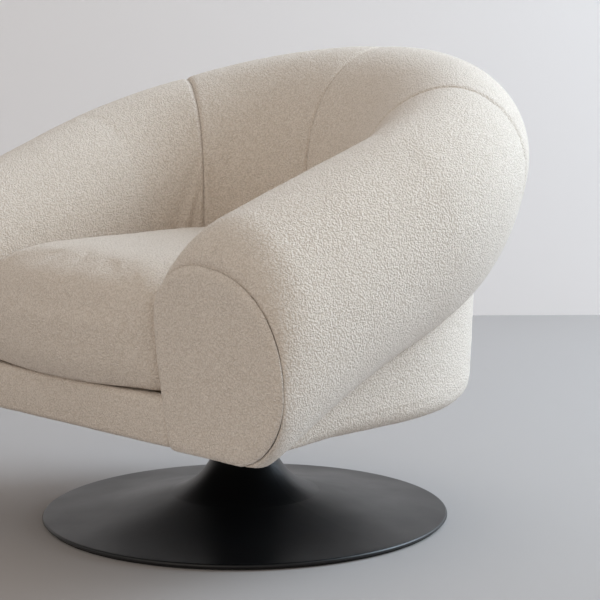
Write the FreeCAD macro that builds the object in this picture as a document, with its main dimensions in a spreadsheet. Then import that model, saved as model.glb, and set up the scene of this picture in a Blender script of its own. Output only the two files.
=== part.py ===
import FreeCAD, Part
import math
import os
import Sketcher

# Tub chair on a swivel trumpet base.
# Millimetres, +Z up. The origin is on the floor, on the swivel axis. The chair's front faces -Y.
# The padded roll is a row of egg-shaped sections: straight along each arm, then round the back.
# A section is set by its reach (distance out from the tub's centre line) and its height.

doc = FreeCAD.newDocument("TubChair")
sheet = doc.addObject("Spreadsheet::Sheet", "Sizes")

SIZES = [
    # Base
    ("base_radius", 300, "outer radius of the trumpet foot"),
    ("rim_height", 9, "top of the foot's rolled rim"),
    ("flare_radius", 110, "radius where the flat foot turns up into the flare"),
    ("flare_height", 38, "height of the foot at flare_radius"),
    ("neck_radius", 40, "outer radius of the trumpet's neck"),
    ("neck_start", 118, "height where the flare becomes the straight neck"),
    ("neck_top", 160, "top of the trumpet's neck"),
    ("spun_wall", 2.5, "sheet thickness of the spun foot"),
    ("pad_thick", 3, "thickness of the floor pad"),
    ("pad_inset", 6, "how far the floor pad stays inside the rim"),
    ("ballast_radius", 215, "radius of the ballast disc"),
    ("ballast_thick", 8, "thickness of the ballast disc"),
    # Swivel
    ("column_radius", 30, "outer radius of the fixed column"),
    ("column_wall", 4, "wall of the fixed column"),
    ("column_top", 165, "top of the fixed column"),
    ("flange_radius", 70, "radius of the column's foot flange"),
    ("flange_thick", 6, "thickness of the column's foot flange"),
    ("foot_bolt_circle", 52, "radius of the foot bolts' circle"),
    ("foot_bolt_radius", 4, "shank radius of the foot bolts"),
    ("foot_bolt_count", 4, "number of foot bolts"),
    ("spindle_radius", 22, "radius of the turning spindle"),
    ("spindle_bottom", 33, "lower end of the spindle"),
    ("collar_radius", 28, "radius of the spindle's thrust collar"),
    ("collar_thick", 7, "height of the spindle's thrust collar"),
    ("bush_length", 26, "length of each plain bush"),
    ("bush_flange", 3.2, "flange thickness of the upper bush"),
    ("retainer_thick", 3, "thickness of the retaining washer"),
    ("retainer_bolt_radius", 6, "shank radius of the retaining bolt"),
    ("plate_side", 150, "side of the square swivel plate"),
    ("plate_thick", 6, "thickness of the swivel plate"),
    ("plate_corner", 14, "corner radius of the swivel plate"),
    ("plate_bolt_spacing", 110, "distance between the swivel plate's bolts"),
    ("plate_bolt_radius", 4, "shank radius of the swivel plate's bolts"),
    ("nut_flange_radius", 10.8, "radius of the board nuts' flanges"),
    ("nut_flange_thick", 1.5, "thickness of the board nuts' flanges"),
    # Frame
    ("underside_height", 190, "lowest face of the upholstered tub"),
    ("dust_thick", 1.5, "thickness of the dust cover"),
    ("board_bottom", 192, "underside of the seat board"),
    ("board_thick", 18, "thickness of the seat board"),
    ("board_front", 292, "distance of the seat board's front edge from the axis"),
    ("back_centre", 30, "distance of the tub's round back's centre in front of the axis"),
    ("wall_reach", 306, "inner reach of the bent tub wall"),
    ("wall_thick", 12, "thickness of the bent tub wall"),
    ("wall_drop", 112, "distance of the wall's top edge below the roll's ridge"),
    ("post_width", 45, "width of the front posts"),
    ("post_front", 331, "distance of the front posts' front face from the axis"),
    ("post_top", 385, "top of the front posts"),
    ("back_post_width", 80, "width of the back post"),
    ("back_post_depth", 32, "depth of the back post"),
    ("rail_thick", 24, "thickness of the front rail"),
    ("rail_top", 250, "top of the front rail"),
    ("rail_cover_thick", 24, "thickness of the padded strip on the front rail"),
    ("deck_reach", 220, "outer reach of the spring frame under the cushion"),
    ("deck_bar", 42, "width of the spring frame's bars"),
    ("deck_frame_height", 26, "height of the spring frame"),
    ("strap_width", 50, "width of the elastic straps"),
    ("strap_thick", 1.5, "thickness of the elastic straps"),
    ("strap_count", 5, "number of elastic straps"),
    ("deck_foam_thick", 17, "thickness of the foam on the straps"),
    # Roll
    ("panel_front", 343, "distance of the arm fronts from the axis"),
    ("panel_thick", 12, "thickness of the arms' front panels"),
    ("edge_depth", 58, "distance over which the arm's front edge rounds over"),
    ("ridge_reach", 318, "reach of the roll's ridge"),
    ("ridge_front", 495, "height of the ridge at the arm fronts"),
    ("ridge_back", 690, "height of the ridge at the back"),
    ("ridge_arch", 4, "how far the ridge arches above a straight slope"),
    ("bulge_reach", 443, "reach of the roll's outermost line"),
    ("bulge_taper", 16, "how much nearer the outermost line lies at the back"),
    ("bulge_front", 318, "height of the outermost line at the arm fronts"),
    ("bulge_back", 575, "height of the outermost line at the back"),
    ("bulge_arch", 30, "how far the outermost line arches above a straight slope"),
    ("seam_reach", 358, "reach of the seam under the roll"),
    ("seam_front", 190, "height of that seam at the arm fronts"),
    ("seam_back", 375, "height of that seam at the back"),
    ("seam_arch", 34, "how far that seam arches above a straight slope"),
    ("inner_reach", 198, "reach of the roll's inner face on the arms"),
    ("back_fullness", 40, "how much further in the inner face stands at the back"),
    ("inner_drop_front", 112, "distance of the inner face's top below the ridge on the arms"),
    ("inner_drop_back", 190, "the same distance at the back"),
    ("foot_reach", 226, "reach of the inner face's foot on the arms"),
    ("foot_fullness", 74, "how much further in that foot stands at the back"),
    ("belly_front", 0.85, "roundness under the outermost line at the arm fronts, as a share"),
    ("belly_back", 0.66, "the same roundness at the back"),
    ("split_angle", 31, "angle of the cross seams round the back, from the side"),
    ("panel_ridge", 429, "top of the arm's front panel"),
    ("panel_bulge", 439, "outermost reach of the arm's front panel"),
    ("panel_seam", 366, "reach of the front panel's lower corner"),
    ("soft_gap", 0.3, "clearance round soft pieces"),
    # Tub cover, rail cover and cushion
    ("cover_reach", 350, "outer reach of the tub cover at its lower edge"),
    ("cover_edge", 28, "radius of the tub cover's lower edge"),
    ("rail_cover_edge", 9, "edge radius of the front rail's cover"),
    ("cushion_top", 424, "top of the seat cushion's crown"),
    ("cushion_low_half", 211, "half width of the cushion at its foot"),
    ("cushion_high_half", 187, "half width of the cushion under its crown"),
    ("cushion_front", 336, "distance of the cushion's front corners from the axis"),
    ("cushion_belly", 18, "how far the cushion's front bulges"),
    ("cushion_back", 123, "distance of the cushion's back behind the axis"),
    ("cushion_squareness", 4, "exponent of the cushion's rounded section: 2 is an ellipse"),
    ("cushion_foot_draw", 0.12, "how far the cushion's foot is drawn in, as a share of its crown's draw"),
]

for row, (name, value, meaning) in enumerate(SIZES, start=1):
    sheet.set("A%d" % row, name)
    sheet.set("B%d" % row, str(value))
    sheet.set("C%d" % row, meaning)
    sheet.setAlias("B%d" % row, name)
doc.recompute()


class Size:
    """A length worked out from the sheet: its value, and the expression that gives it."""

    def __init__(self, value, text):
        self.value = float(value)
        self.text = text

    def join(self, other, sign, value):
        return Size(value, "(%s %s %s)" % (self.text, sign, as_size(other).text))

    def __add__(self, other):
        return self.join(other, "+", self.value + as_size(other).value)

    def __sub__(self, other):
        return self.join(other, "-", self.value - as_size(other).value)

    def __mul__(self, other):
        return self.join(other, "*", self.value * as_size(other).value)

    def __truediv__(self, other):
        return self.join(other, "/", self.value / as_size(other).value)

    def __neg__(self):
        return self * -1


def as_size(number):
    """Wraps a plain number, and passes a Size through."""
    if isinstance(number, Size):
        return number
    return Size(number, "(%s)" % number)


def size(name):
    """The sheet's size of that name."""
    return Size(sheet.get(name), "Sizes." + name)


def val(name):
    """The plain number of the sheet's size of that name."""
    return float(sheet.get(name))


board_top = size("board_bottom") + size("board_thick")
ballast_top = size("pad_thick") + size("ballast_thick")
bore_radius = size("column_radius") - size("column_wall")
deck_top = board_top + size("deck_frame_height") + size("strap_thick") + size("deck_foam_thick")
cushion_bottom = deck_top + size("soft_gap")
RUNNING_GAP = 0.08
THRUST_GAP = 0.3
nodes = []


# Sketches and bodies

def new_body(label):
    body = doc.addObject("PartDesign::Body", label)
    body.Label = label
    nodes.append(body)
    return body


def new_sketch(body, name, plane, lift=None):
    """A sketch on one of the body's own origin planes, lifted off it by a size."""
    sketch = body.newObject("Sketcher::SketchObject", name)
    for origin_plane in body.Origin.OriginFeatures:
        if origin_plane.Role == plane:
            sketch.AttachmentSupport = [(origin_plane, "")]
    sketch.MapMode = "FlatFace"
    if lift is not None:
        sketch.AttachmentOffset = FreeCAD.Placement(FreeCAD.Vector(0, 0, lift.value), FreeCAD.Rotation())
        sketch.setExpression("AttachmentOffset.Base.z", lift.text)
    return sketch


def bind(sketch, constraint, amount):
    """Adds a dimension to the sketch and ties it to the sheet."""
    index = sketch.addConstraint(constraint)
    sketch.setExpression("Constraints[%d]" % index, amount.text)


def draw(sketch, corners, radii=None):
    """A closed outline through corners given as pairs of sizes.

    radii maps a side's number to (radius, sign): that side is an arc whose centre lies left of the way
    from start to end when the sign is positive. An arc always runs anticlockwise in a sketch.
    """
    radii = radii or {}
    count = len(corners)
    ends = [(1, 2)] * count
    points = [FreeCAD.Vector(x.value, y.value, 0) for x, y in corners]
    for i in range(count):
        start, end = points[i], points[(i + 1) % count]
        if i not in radii:
            sketch.addGeometry(Part.LineSegment(start, end))
            continue
        radius, sign = radii[i]
        chord = end - start
        half = chord.Length / 2
        rise = math.sqrt(max(radius.value ** 2 - half ** 2, 0))
        normal = FreeCAD.Vector(-chord.y, chord.x, 0).normalize()
        centre = start + chord * 0.5 + normal * (rise * sign)
        middle = centre - normal * (radius.value * sign)
        if sign > 0:
            sketch.addGeometry(Part.ArcOfCircle(start, middle, end))
        else:
            sketch.addGeometry(Part.ArcOfCircle(end, middle, start))
            ends[i] = (2, 1)
    for i in range(count):
        following = (i + 1) % count
        sketch.addConstraint(Sketcher.Constraint("Coincident", i, ends[i][1], following, ends[following][0]))
    for i, (x, y) in enumerate(corners):
        bind(sketch, Sketcher.Constraint("DistanceX", -1, 1, i, ends[i][0], x.value), x)
        bind(sketch, Sketcher.Constraint("DistanceY", -1, 1, i, ends[i][0], y.value), y)
    for i, (radius, sign) in radii.items():
        bind(sketch, Sketcher.Constraint("Radius", i, radius.value), radius)


def circles(sketch, places, radius):
    """Circles of one radius at places given as pairs of sizes."""
    for x, y in places:
        index = sketch.addGeometry(Part.Circle(FreeCAD.Vector(x.value, y.value, 0),
                                               FreeCAD.Vector(0, 0, 1), radius.value))
        bind(sketch, Sketcher.Constraint("DistanceX", -1, 1, index, 3, x.value), x)
        bind(sketch, Sketcher.Constraint("DistanceY", -1, 1, index, 3, y.value), y)
        bind(sketch, Sketcher.Constraint("Radius", index, radius.value), radius)


def turned(label, corners, radii=None):
    """A piece turned about the swivel axis from its outline in the XZ plane."""
    body = new_body(label)
    sketch = new_sketch(body, label + "_outline", "XZ_Plane")
    draw(sketch, corners, radii)
    turn = body.newObject("PartDesign::Revolution", label + "_turn")
    turn.Profile = sketch
    turn.ReferenceAxis = (sketch, ["V_Axis"])
    turn.Angle = 360
    doc.recompute()
    return body


def padded(body, sketch, height):
    """Pads a sketch upwards by a size."""
    pad = body.newObject("PartDesign::Pad", sketch.Name + "_pad")
    pad.Profile = sketch
    pad.Length = height.value
    pad.setExpression("Length", height.text)
    doc.recompute()
    return pad


def holes(body, places, radius, lift, depth):
    """Pockets round holes upwards from a height, to a depth."""
    before = body.Shape.Volume
    sketch = new_sketch(body, body.Label + "_holes_%d" % len(body.Group), "XY_Plane", lift)
    circles(sketch, places, radius)
    pocket = body.newObject("PartDesign::Pocket", sketch.Name + "_cut")
    pocket.Profile = sketch
    pocket.Reversed = True
    pocket.Length = depth.value
    pocket.setExpression("Length", depth.text)
    doc.recompute()
    if pocket.Shape.Volume >= before:
        print("no cut made in", body.Label)
    return pocket


def rectangle(x_low, x_high, y_low, y_high):
    return [(x_low, y_low), (x_high, y_low), (x_high, y_high), (x_low, y_high)]


def tub_outline(reach, front):
    """Corners and arcs of a D: a straight front, straight sides and a round back, as a plan view."""
    centre = -size("back_centre")
    corners = [(-reach, front), (reach, front), (reach, centre), (as_size(0), centre + reach),
               (-reach, centre)]
    return corners, {2: (reach, 1), 3: (reach, 1)}


def feature(label, shape, keep=True):
    """A piece whose shape Part's own functions give."""
    piece = doc.addObject("Part::Feature", label)
    piece.Label = label
    piece.Shape = shape
    piece.Placement = FreeCAD.Placement()
    if keep:
        nodes.append(piece)
    return piece


def mirrored(source, label):
    """The left twin of a right-hand piece."""
    twin = doc.addObject("Part::Mirroring", label)
    twin.Label = label
    twin.Source = source
    twin.Normal = FreeCAD.Vector(1, 0, 0)
    doc.recompute()
    nodes.append(twin)
    return twin


def square_places(spacing):
    half = spacing / 2
    return [(-half, -half), (half, -half), (half, half), (-half, half)]


# Trumpet base

def trumpet_shell():
    """Spun sheet: flat foot, long flare and straight neck, one sheet thickness all over."""
    wall = size("spun_wall")
    rim = size("base_radius")
    bottom = size("pad_thick")
    lip = size("rim_height") - bottom
    corners = [
        (rim - wall, bottom),
        (rim, bottom + wall),
        (rim - lip / 2, size("rim_height")),
        (size("flare_radius"), size("flare_height")),
        (size("neck_radius"), size("neck_start")),
        (size("neck_radius"), size("neck_top")),
        (size("neck_radius") - wall, size("neck_top")),
        (size("neck_radius") - wall, size("neck_start")),
        (size("flare_radius") - wall, size("flare_height") - wall),
        (rim - lip / 2 - wall, size("rim_height") - wall),
        (rim - lip, bottom),
    ]
    slope_radius = size("base_radius") * 3.1
    flare_radius = size("flare_radius") * 0.92
    radii = {
        1: (lip * 0.6, 1),
        2: (slope_radius, -1),
        3: (flare_radius, -1),
        7: (flare_radius + wall, 1),
        8: (slope_radius + wall, 1),
    }
    return turned("trumpet_shell", corners, radii)


def floor_pad():
    """Full disc of felt under the ballast."""
    zero = as_size(0)
    return turned("floor_pad", rectangle(zero, size("base_radius") - size("pad_inset"), zero, size("pad_thick")))


def bolt_places():
    """The foot bolts' places round their circle."""
    count = int(val("foot_bolt_count"))
    circle = size("foot_bolt_circle")
    places = []
    for i in range(count):
        angle = 2 * math.pi * (i + 0.5) / count
        places.append((circle * round(math.cos(angle), 6), circle * round(math.sin(angle), 6)))
    return places


def ballast_disc():
    bolt = size("foot_bolt_radius")
    corners = rectangle(bore_radius, size("ballast_radius"), size("pad_thick"), ballast_top)
    body = turned("ballast_disc", corners)
    holes(body, bolt_places(), bolt + 0.2, size("pad_thick"), size("ballast_thick"))
    holes(body, bolt_places(), bolt * 2, size("pad_thick"), bolt)
    return body


def column():
    """Fixed tube with its foot flange, bored for the bushes."""
    flange_top = ballast_top + size("flange_thick")
    corners = [
        (bore_radius, ballast_top),
        (size("flange_radius"), ballast_top),
        (size("flange_radius"), flange_top),
        (size("column_radius"), flange_top),
        (size("column_radius"), size("column_top")),
        (bore_radius, size("column_top")),
    ]
    body = turned("column", corners)
    holes(body, bolt_places(), size("foot_bolt_radius") + 0.2, ballast_top, size("flange_thick"))
    return body


def bolts(label, places, radius, head_radius, head_low, head_high, tip):
    """Identical bolts, each a round shank and a hexagonal head, as one group of solids."""
    solids = []
    for x, y in places:
        base = FreeCAD.Vector(x.value, y.value, 0)
        corners = [base + FreeCAD.Vector(head_radius * math.cos(math.radians(60 * k)),
                                         head_radius * math.sin(math.radians(60 * k)), head_low)
                   for k in range(7)]
        head = Part.Face(Part.makePolygon(corners)).extrude(FreeCAD.Vector(0, 0, head_high - head_low))
        shank = Part.makeCylinder(radius, tip - head_high, base + FreeCAD.Vector(0, 0, head_high))
        solids.append(head.fuse(shank).removeSplitter().Solids[0])
    return feature(label, Part.makeCompound(solids))


def foot_bolts():
    radius = val("foot_bolt_radius")
    low = val("pad_thick") + 0.3
    high = val("pad_thick") + radius
    tip = (ballast_top + size("flange_thick")).value
    return bolts("foot_bolts", bolt_places(), radius, radius * 1.8, low, high, tip)


def neck_sleeve():
    """Ring that centres the trumpet's neck on the column."""
    inner = size("column_radius")
    outer = size("neck_radius") - size("spun_wall")
    low = size("neck_top") - size("bush_length")
    return turned("neck_sleeve", rectangle(inner, outer, low, size("neck_top")))


def upper_bush():
    inner = size("spindle_radius") + RUNNING_GAP
    top = size("column_top")
    corners = [
        (inner, top - size("bush_length")),
        (bore_radius, top - size("bush_length")),
        (bore_radius, top),
        (size("column_radius"), top),
        (size("column_radius"), top + size("bush_flange")),
        (inner, top + size("bush_flange")),
    ]
    return turned("upper_bush", corners)


def lower_bush():
    inner = size("spindle_radius") + RUNNING_GAP
    low = size("spindle_bottom")
    return turned("lower_bush", rectangle(inner, bore_radius, low, low + size("bush_length")))


# Swivel, turning part

def plate_bottom():
    return size("board_bottom") - size("plate_thick")


def spindle():
    """Solid spindle with a thrust collar, drilled from below for its retaining bolt."""
    collar_low = size("column_top") + size("bush_flange") + THRUST_GAP
    collar_high = collar_low + size("collar_thick")
    bolt = size("retainer_bolt_radius") + 0.05
    low = size("spindle_bottom") - THRUST_GAP
    drilled = low + size("retainer_bolt_radius") * 4
    zero = as_size(0)
    corners = [
        (bolt, low),
        (size("spindle_radius"), low),
        (size("spindle_radius"), collar_low),
        (size("collar_radius"), collar_low),
        (size("collar_radius"), collar_high),
        (size("spindle_radius"), collar_high),
        (size("spindle_radius"), plate_bottom()),
        (zero, plate_bottom()),
        (zero, drilled),
        (bolt, drilled),
    ]
    return turned("spindle", corners)


def retaining_washer():
    high = size("spindle_bottom") - THRUST_GAP
    low = high - size("retainer_thick")
    inner = size("retainer_bolt_radius") + 0.05
    return turned("retaining_washer", rectangle(inner, bore_radius - 1, low, high))


def retaining_bolt():
    radius = val("retainer_bolt_radius")
    high = val("spindle_bottom") - THRUST_GAP - val("retainer_thick")
    tip = val("spindle_bottom") + radius * 3
    return bolts("retaining_bolt", [(as_size(0), as_size(0))], radius, radius * 1.7,
                 high - radius * 1.2, high, tip)


def swivel_plate():
    half = size("plate_side") / 2
    body = new_body("swivel_plate")
    sketch = new_sketch(body, "swivel_plate_outline", "XY_Plane", plate_bottom())
    draw(sketch, rectangle(-half, half, -half, half))
    pad = padded(body, sketch, size("plate_thick"))
    rounding = body.newObject("PartDesign::Fillet", "swivel_plate_corners")
    upright = ["Edge%d" % (i + 1) for i, edge in enumerate(pad.Shape.Edges)
               if abs(edge.tangentAt(edge.FirstParameter).z) > 0.99]
    rounding.Base = (pad, upright)
    rounding.Radius = val("plate_corner")
    rounding.setExpression("Radius", "Sizes.plate_corner")
    doc.recompute()
    holes(body, square_places(size("plate_bolt_spacing")), size("plate_bolt_radius") + 0.4,
          plate_bottom(), size("plate_thick"))
    return body


def plate_bolts():
    radius = val("plate_bolt_radius")
    high = plate_bottom().value
    tip = board_top.value + radius
    return bolts("plate_bolts", square_places(size("plate_bolt_spacing")), radius, radius * 1.8,
                 high - radius * 1.3, high, tip)


def board_nuts():
    """Flanged nuts that sit in the seat board over the swivel plate's bolts."""
    radius = val("plate_bolt_radius")
    flange = val("nut_flange_thick")
    barrel = val("board_thick") * 0.6
    solids = []
    for x, y in square_places(size("plate_bolt_spacing")):
        foot = FreeCAD.Vector(x.value, y.value, board_top.value - barrel)
        top = FreeCAD.Vector(x.value, y.value, board_top.value)
        nut = Part.makeCylinder(radius + 1.5, barrel, foot).fuse(Part.makeCylinder(val("nut_flange_radius"), flange, top))
        nut = nut.cut(Part.makeCylinder(radius + 0.05, barrel + flange, foot))
        solids.append(nut.removeSplitter().Solids[0])
    return feature("board_nuts", Part.makeCompound(solids))


# Timber frame

def seat_board():
    body = new_body("seat_board")
    sketch = new_sketch(body, "seat_board_outline", "XY_Plane", size("board_bottom"))
    corners, radii = tub_outline(size("wall_reach"), -size("board_front"))
    draw(sketch, corners, radii)
    padded(body, sketch, size("board_thick"))
    holes(body, square_places(size("plate_bolt_spacing")), size("plate_bolt_radius") + 1.6,
          size("board_bottom"), size("board_thick"))
    return body


def dust_cover():
    """Thin cloth tacked under the seat board, open round the swivel plate."""
    body = new_body("dust_cover")
    low = size("board_bottom") - size("dust_thick")
    sketch = new_sketch(body, "dust_cover_outline", "XY_Plane", low)
    corners, radii = tub_outline(size("wall_reach") - 4, -size("board_front") + 4)
    draw(sketch, corners, radii)
    padded(body, sketch, size("dust_thick"))
    window = new_sketch(body, "dust_cover_window", "XY_Plane", low)
    half = size("plate_side") / 2 + 3
    draw(window, rectangle(-half, half, -half, half))
    cut = body.newObject("PartDesign::Pocket", "dust_cover_cut")
    cut.Profile = window
    cut.Reversed = True
    cut.setExpression("Length", "Sizes.dust_thick")
    doc.recompute()
    return body


def station_height(front, back, arch, y, y_front, y_back):
    """Height along the tub: a straight slope from front to back, arched in the middle."""
    share = (y - y_front) / (y_back - y_front)
    return front + (back - front) * share + arch * 4 * share * (1 - share)


def full_front():
    """Where the arm's front edge has rounded over, as a Y."""
    return val("edge_depth") - val("panel_front")


def d_face(reach, front, height):
    """Plan outline of the tub at a height, as a face."""
    centre = -val("back_centre")
    bend = reach * math.sqrt(0.5)
    left, right = FreeCAD.Vector(-reach, centre, height), FreeCAD.Vector(reach, centre, height)
    back = FreeCAD.Vector(0, centre + reach, height)
    right_bend = FreeCAD.Vector(bend, centre + bend, height)
    left_bend = FreeCAD.Vector(-bend, centre + bend, height)
    front_left, front_right = FreeCAD.Vector(-reach, front, height), FreeCAD.Vector(reach, front, height)
    edges = [Part.LineSegment(front_left, front_right), Part.LineSegment(front_right, right),
             Part.Arc(right, right_bend, back), Part.Arc(back, left_bend, left),
             Part.LineSegment(left, front_left)]
    return Part.Face(Part.Wire([edge.toShape() for edge in edges]))


def tub_ring(inner, outer, front, low, high):
    """U-shaped upright wall between two reaches, open at the front."""
    up = FreeCAD.Vector(0, 0, high - low)
    wall = d_face(outer, front, low).extrude(up)
    return wall.cut(d_face(inner, front - 1, low).extrude(up))


def above_slope(drop, extra):
    """Block above a straight slope that lies a drop under the ridge, for trimming the frame."""
    y_front, y_back = full_front(), val("ridge_reach") - val("back_centre")
    rise = (val("ridge_back") - val("ridge_front")) / (y_back - y_front)
    reach = val("bulge_reach") * 2
    low_y, high_y = -reach, reach
    low = val("ridge_front") - drop + rise * (low_y - y_front) + extra
    high = val("ridge_front") - drop + rise * (high_y - y_front) + extra
    corners = [FreeCAD.Vector(-reach, low_y, low), FreeCAD.Vector(-reach, high_y, high),
               FreeCAD.Vector(-reach, high_y, reach * 2), FreeCAD.Vector(-reach, low_y, reach * 2)]
    return Part.Face(Part.makePolygon(corners + corners[:1])).extrude(FreeCAD.Vector(2 * reach, 0, 0))


def wall_solid(gap):
    """The bent wall of both halves, grown by a gap."""
    inner = val("wall_reach") - gap
    outer = val("wall_reach") + val("wall_thick") + gap
    ring = tub_ring(inner, outer, -val("post_front") + val("rail_thick") - gap,
                    val("board_bottom") - gap, val("ridge_back"))
    return ring.cut(above_slope(val("wall_drop"), gap))


def post_solid(gap):
    """Right front post: from the board's underside up, against the wall's inner face."""
    inner = val("wall_reach") - val("post_width")
    depth = val("post_front") - val("board_front")
    return Part.makeBox(val("post_width") + 2 * gap, depth + 2 * gap, val("post_top") - val("board_bottom") + gap,
                        FreeCAD.Vector(inner - gap, -val("post_front") - gap, val("board_bottom")))


def back_post_solid(gap):
    """Back post against the wall's inner face, its top trimmed to the wall's slope."""
    y_back = val("wall_reach") - val("back_centre")
    width = val("back_post_width") + 2 * gap
    block = Part.makeBox(width, val("back_post_depth") + gap, val("ridge_back"),
                         FreeCAD.Vector(-width / 2, y_back - val("back_post_depth") - gap, board_top.value))
    inside = d_face(val("wall_reach"), 0, board_top.value).extrude(FreeCAD.Vector(0, 0, val("ridge_back")))
    return block.common(inside).cut(above_slope(val("wall_drop"), gap))


def half_space(sign):
    """Block on one side of the mid-plane."""
    reach = val("bulge_reach") * 2
    corner = FreeCAD.Vector(0 if sign > 0 else -reach, -reach, 0)
    return Part.makeBox(reach, 2 * reach, reach * 2, corner)


def frame_pieces():
    right = feature("wall_right", wall_solid(0).common(half_space(1)))
    mirrored(right, "wall_left")
    post = feature("front_post_right", post_solid(0))
    mirrored(post, "front_post_left")
    feature("back_post", back_post_solid(0))


def front_rail():
    """Timber rail between the front posts, standing against the board's front edge."""
    half = size("wall_reach") - size("post_width")
    body = new_body("front_rail")
    sketch = new_sketch(body, "front_rail_outline", "XY_Plane", size("board_bottom"))
    draw(sketch, rectangle(-half, half, -size("board_front") - size("rail_thick"), -size("board_front")))
    padded(body, sketch, size("rail_top") - size("board_bottom"))
    return body


def spring_frame():
    """Open frame on the seat board that carries the elastic straps, cut clear of the board nuts."""
    up = FreeCAD.Vector(0, 0, val("deck_frame_height"))
    low = board_top.value
    ring = deck_face(0, low).extrude(up).cut(deck_face(val("deck_bar"), low).extrude(up))
    for x, y in square_places(size("plate_bolt_spacing")):
        seat = Part.makeCylinder(val("nut_flange_radius") + val("soft_gap"), val("nut_flange_thick") + val("soft_gap"),
                                 FreeCAD.Vector(x.value, y.value, low))
        ring = ring.cut(seat)
    return feature("spring_frame", ring)


def seat_plan(half, front, belly, back, height):
    """Plan outline between the arms: bulging front, straight sides, and a round back that follows the roll."""
    side = -val("back_centre")
    corner = half * 0.1
    near = corner * (1 - math.sqrt(0.5))
    shoulder = (half * 0.63, side + (back - side) * 0.83)
    end = (half * 0.34, back - half * 0.03)

    def spot(x, y):
        return FreeCAD.Vector(x, y, height)

    edges = [
        Part.Arc(spot(-half + corner, front), spot(0, front - belly), spot(half - corner, front)),
        Part.Arc(spot(half - corner, front), spot(half - near, front + near), spot(half, front + corner)),
        Part.LineSegment(spot(half, front + corner), spot(half, side)),
        Part.Arc(spot(half, side), spot(*shoulder), spot(*end)),
        Part.Arc(spot(*end), spot(0, back), spot(-end[0], end[1])),
        Part.Arc(spot(-end[0], end[1]), spot(-shoulder[0], shoulder[1]), spot(-half, side)),
        Part.LineSegment(spot(-half, side), spot(-half, front + corner)),
        Part.Arc(spot(-half, front + corner), spot(-half + near, front + near), spot(-half + corner, front)),
    ]
    return Part.Wire([edge.toShape() for edge in edges])


def deck_face(inset, height):
    """Plan outline of the deck under the cushion, drawn in by an inset."""
    outline = seat_plan(val("deck_reach") - inset, -val("board_front") + val("soft_gap") + inset, 0.01,
                        val("foot_reach") - val("foot_fullness") - val("back_centre") - 6 - inset, height)
    return Part.Face(outline)


def straps():
    """Elastic straps side by side across the spring frame."""
    count = int(val("strap_count"))
    low = board_top.value + val("deck_frame_height")
    front = -val("board_front") + val("deck_bar")
    step = (val("cushion_back") * 0.5 - front) / count
    area = deck_face(8, low).extrude(FreeCAD.Vector(0, 0, val("strap_thick")))
    solids = []
    for i in range(count):
        start = FreeCAD.Vector(-val("deck_reach"), front + step * (i + 0.5) - val("strap_width") / 2, low)
        strap = Part.makeBox(2 * val("deck_reach"), val("strap_width"), val("strap_thick"), start)
        solids.append(strap.common(area).Solids[0])
    return feature("seat_straps", Part.makeCompound(solids))


def deck_foam():
    low = board_top.value + val("deck_frame_height") + val("strap_thick")
    return feature("deck_foam", deck_face(4, low).extrude(FreeCAD.Vector(0, 0, val("deck_foam_thick"))))


# Padded roll

def section_points(y_or_angle, round_part, grow=0.0):
    """Named points of one section as (reach, height).

    On the straight arm the first value is Y, and on the round back it is the angle from the side.
    grow lowers the roll's underside and moves its inner face in, for cutting clear of it.
    """
    sweep = math.sin(math.radians(y_or_angle)) ** 2 if round_part else 0.0

    def y_at(reach):
        if round_part:
            return reach * math.sin(math.radians(y_or_angle)) - val("back_centre")
        return y_or_angle

    def height(kind, reach):
        return station_height(val(kind + "_front"), val(kind + "_back"), val(kind + "_arch"),
                              y_at(reach), full_front(), reach - val("back_centre"))

    def shift(first, second):
        """From the front's size to the back's size, in step with the ridge's way back."""
        y_back = val("ridge_reach") - val("back_centre")
        share = (y_at(val("ridge_reach")) - full_front()) / (y_back - full_front())
        return val(first) + (val(second) - val(first)) * share

    ridge = height("ridge", val("ridge_reach"))
    seam = (val("seam_reach"), height("seam", val("seam_reach")) - grow)
    bulge_reach = val("bulge_reach") - (val("bulge_taper") * math.sin(math.radians(y_or_angle)) if round_part else 0)
    bulge = (bulge_reach, height("bulge", bulge_reach))
    inner = (val("inner_reach") - val("back_fullness") * sweep - grow,
             ridge - shift("inner_drop_front", "inner_drop_back"))
    foot = (val("foot_reach") - val("foot_fullness") * sweep - grow, board_top.value)
    return {
        "seam": seam,
        "belly": quarter(seam, bulge, shift("belly_front", "belly_back"), 0.5),
        "bulge": bulge,
        "ridge": (val("ridge_reach"), ridge),
        "inner": inner,
        "foot": foot,
    }


def front_points(full, grow=0.0):
    """Section on the arm's flat front: the full section drawn in to the panel's outline."""
    seam = (val("panel_seam"), val("seam_front") - grow)
    bulge = (val("panel_bulge"), full["bulge"][1])
    return {
        "seam": seam,
        "belly": quarter(seam, bulge, val("belly_front"), 0.5),
        "bulge": bulge,
        "ridge": (val("ridge_reach") - 10, val("panel_ridge")),
        "inner": (full["inner"][0] + 2, val("panel_ridge") - 52),
        "foot": (full["foot"][0] + 4, val("seam_front") - grow),
    }


def between(first, second, share):
    """Section between two others, point by point."""
    return {name: tuple(a + (b - a) * share for a, b in zip(first[name], second[name])) for name in first}


def quarter(start, end, share_reach, share_height):
    """Point of a rounded corner between two points: its shares of the way in reach and in height."""
    return (start[0] + (end[0] - start[0]) * share_reach, start[1] + (end[1] - start[1]) * share_height)


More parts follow.
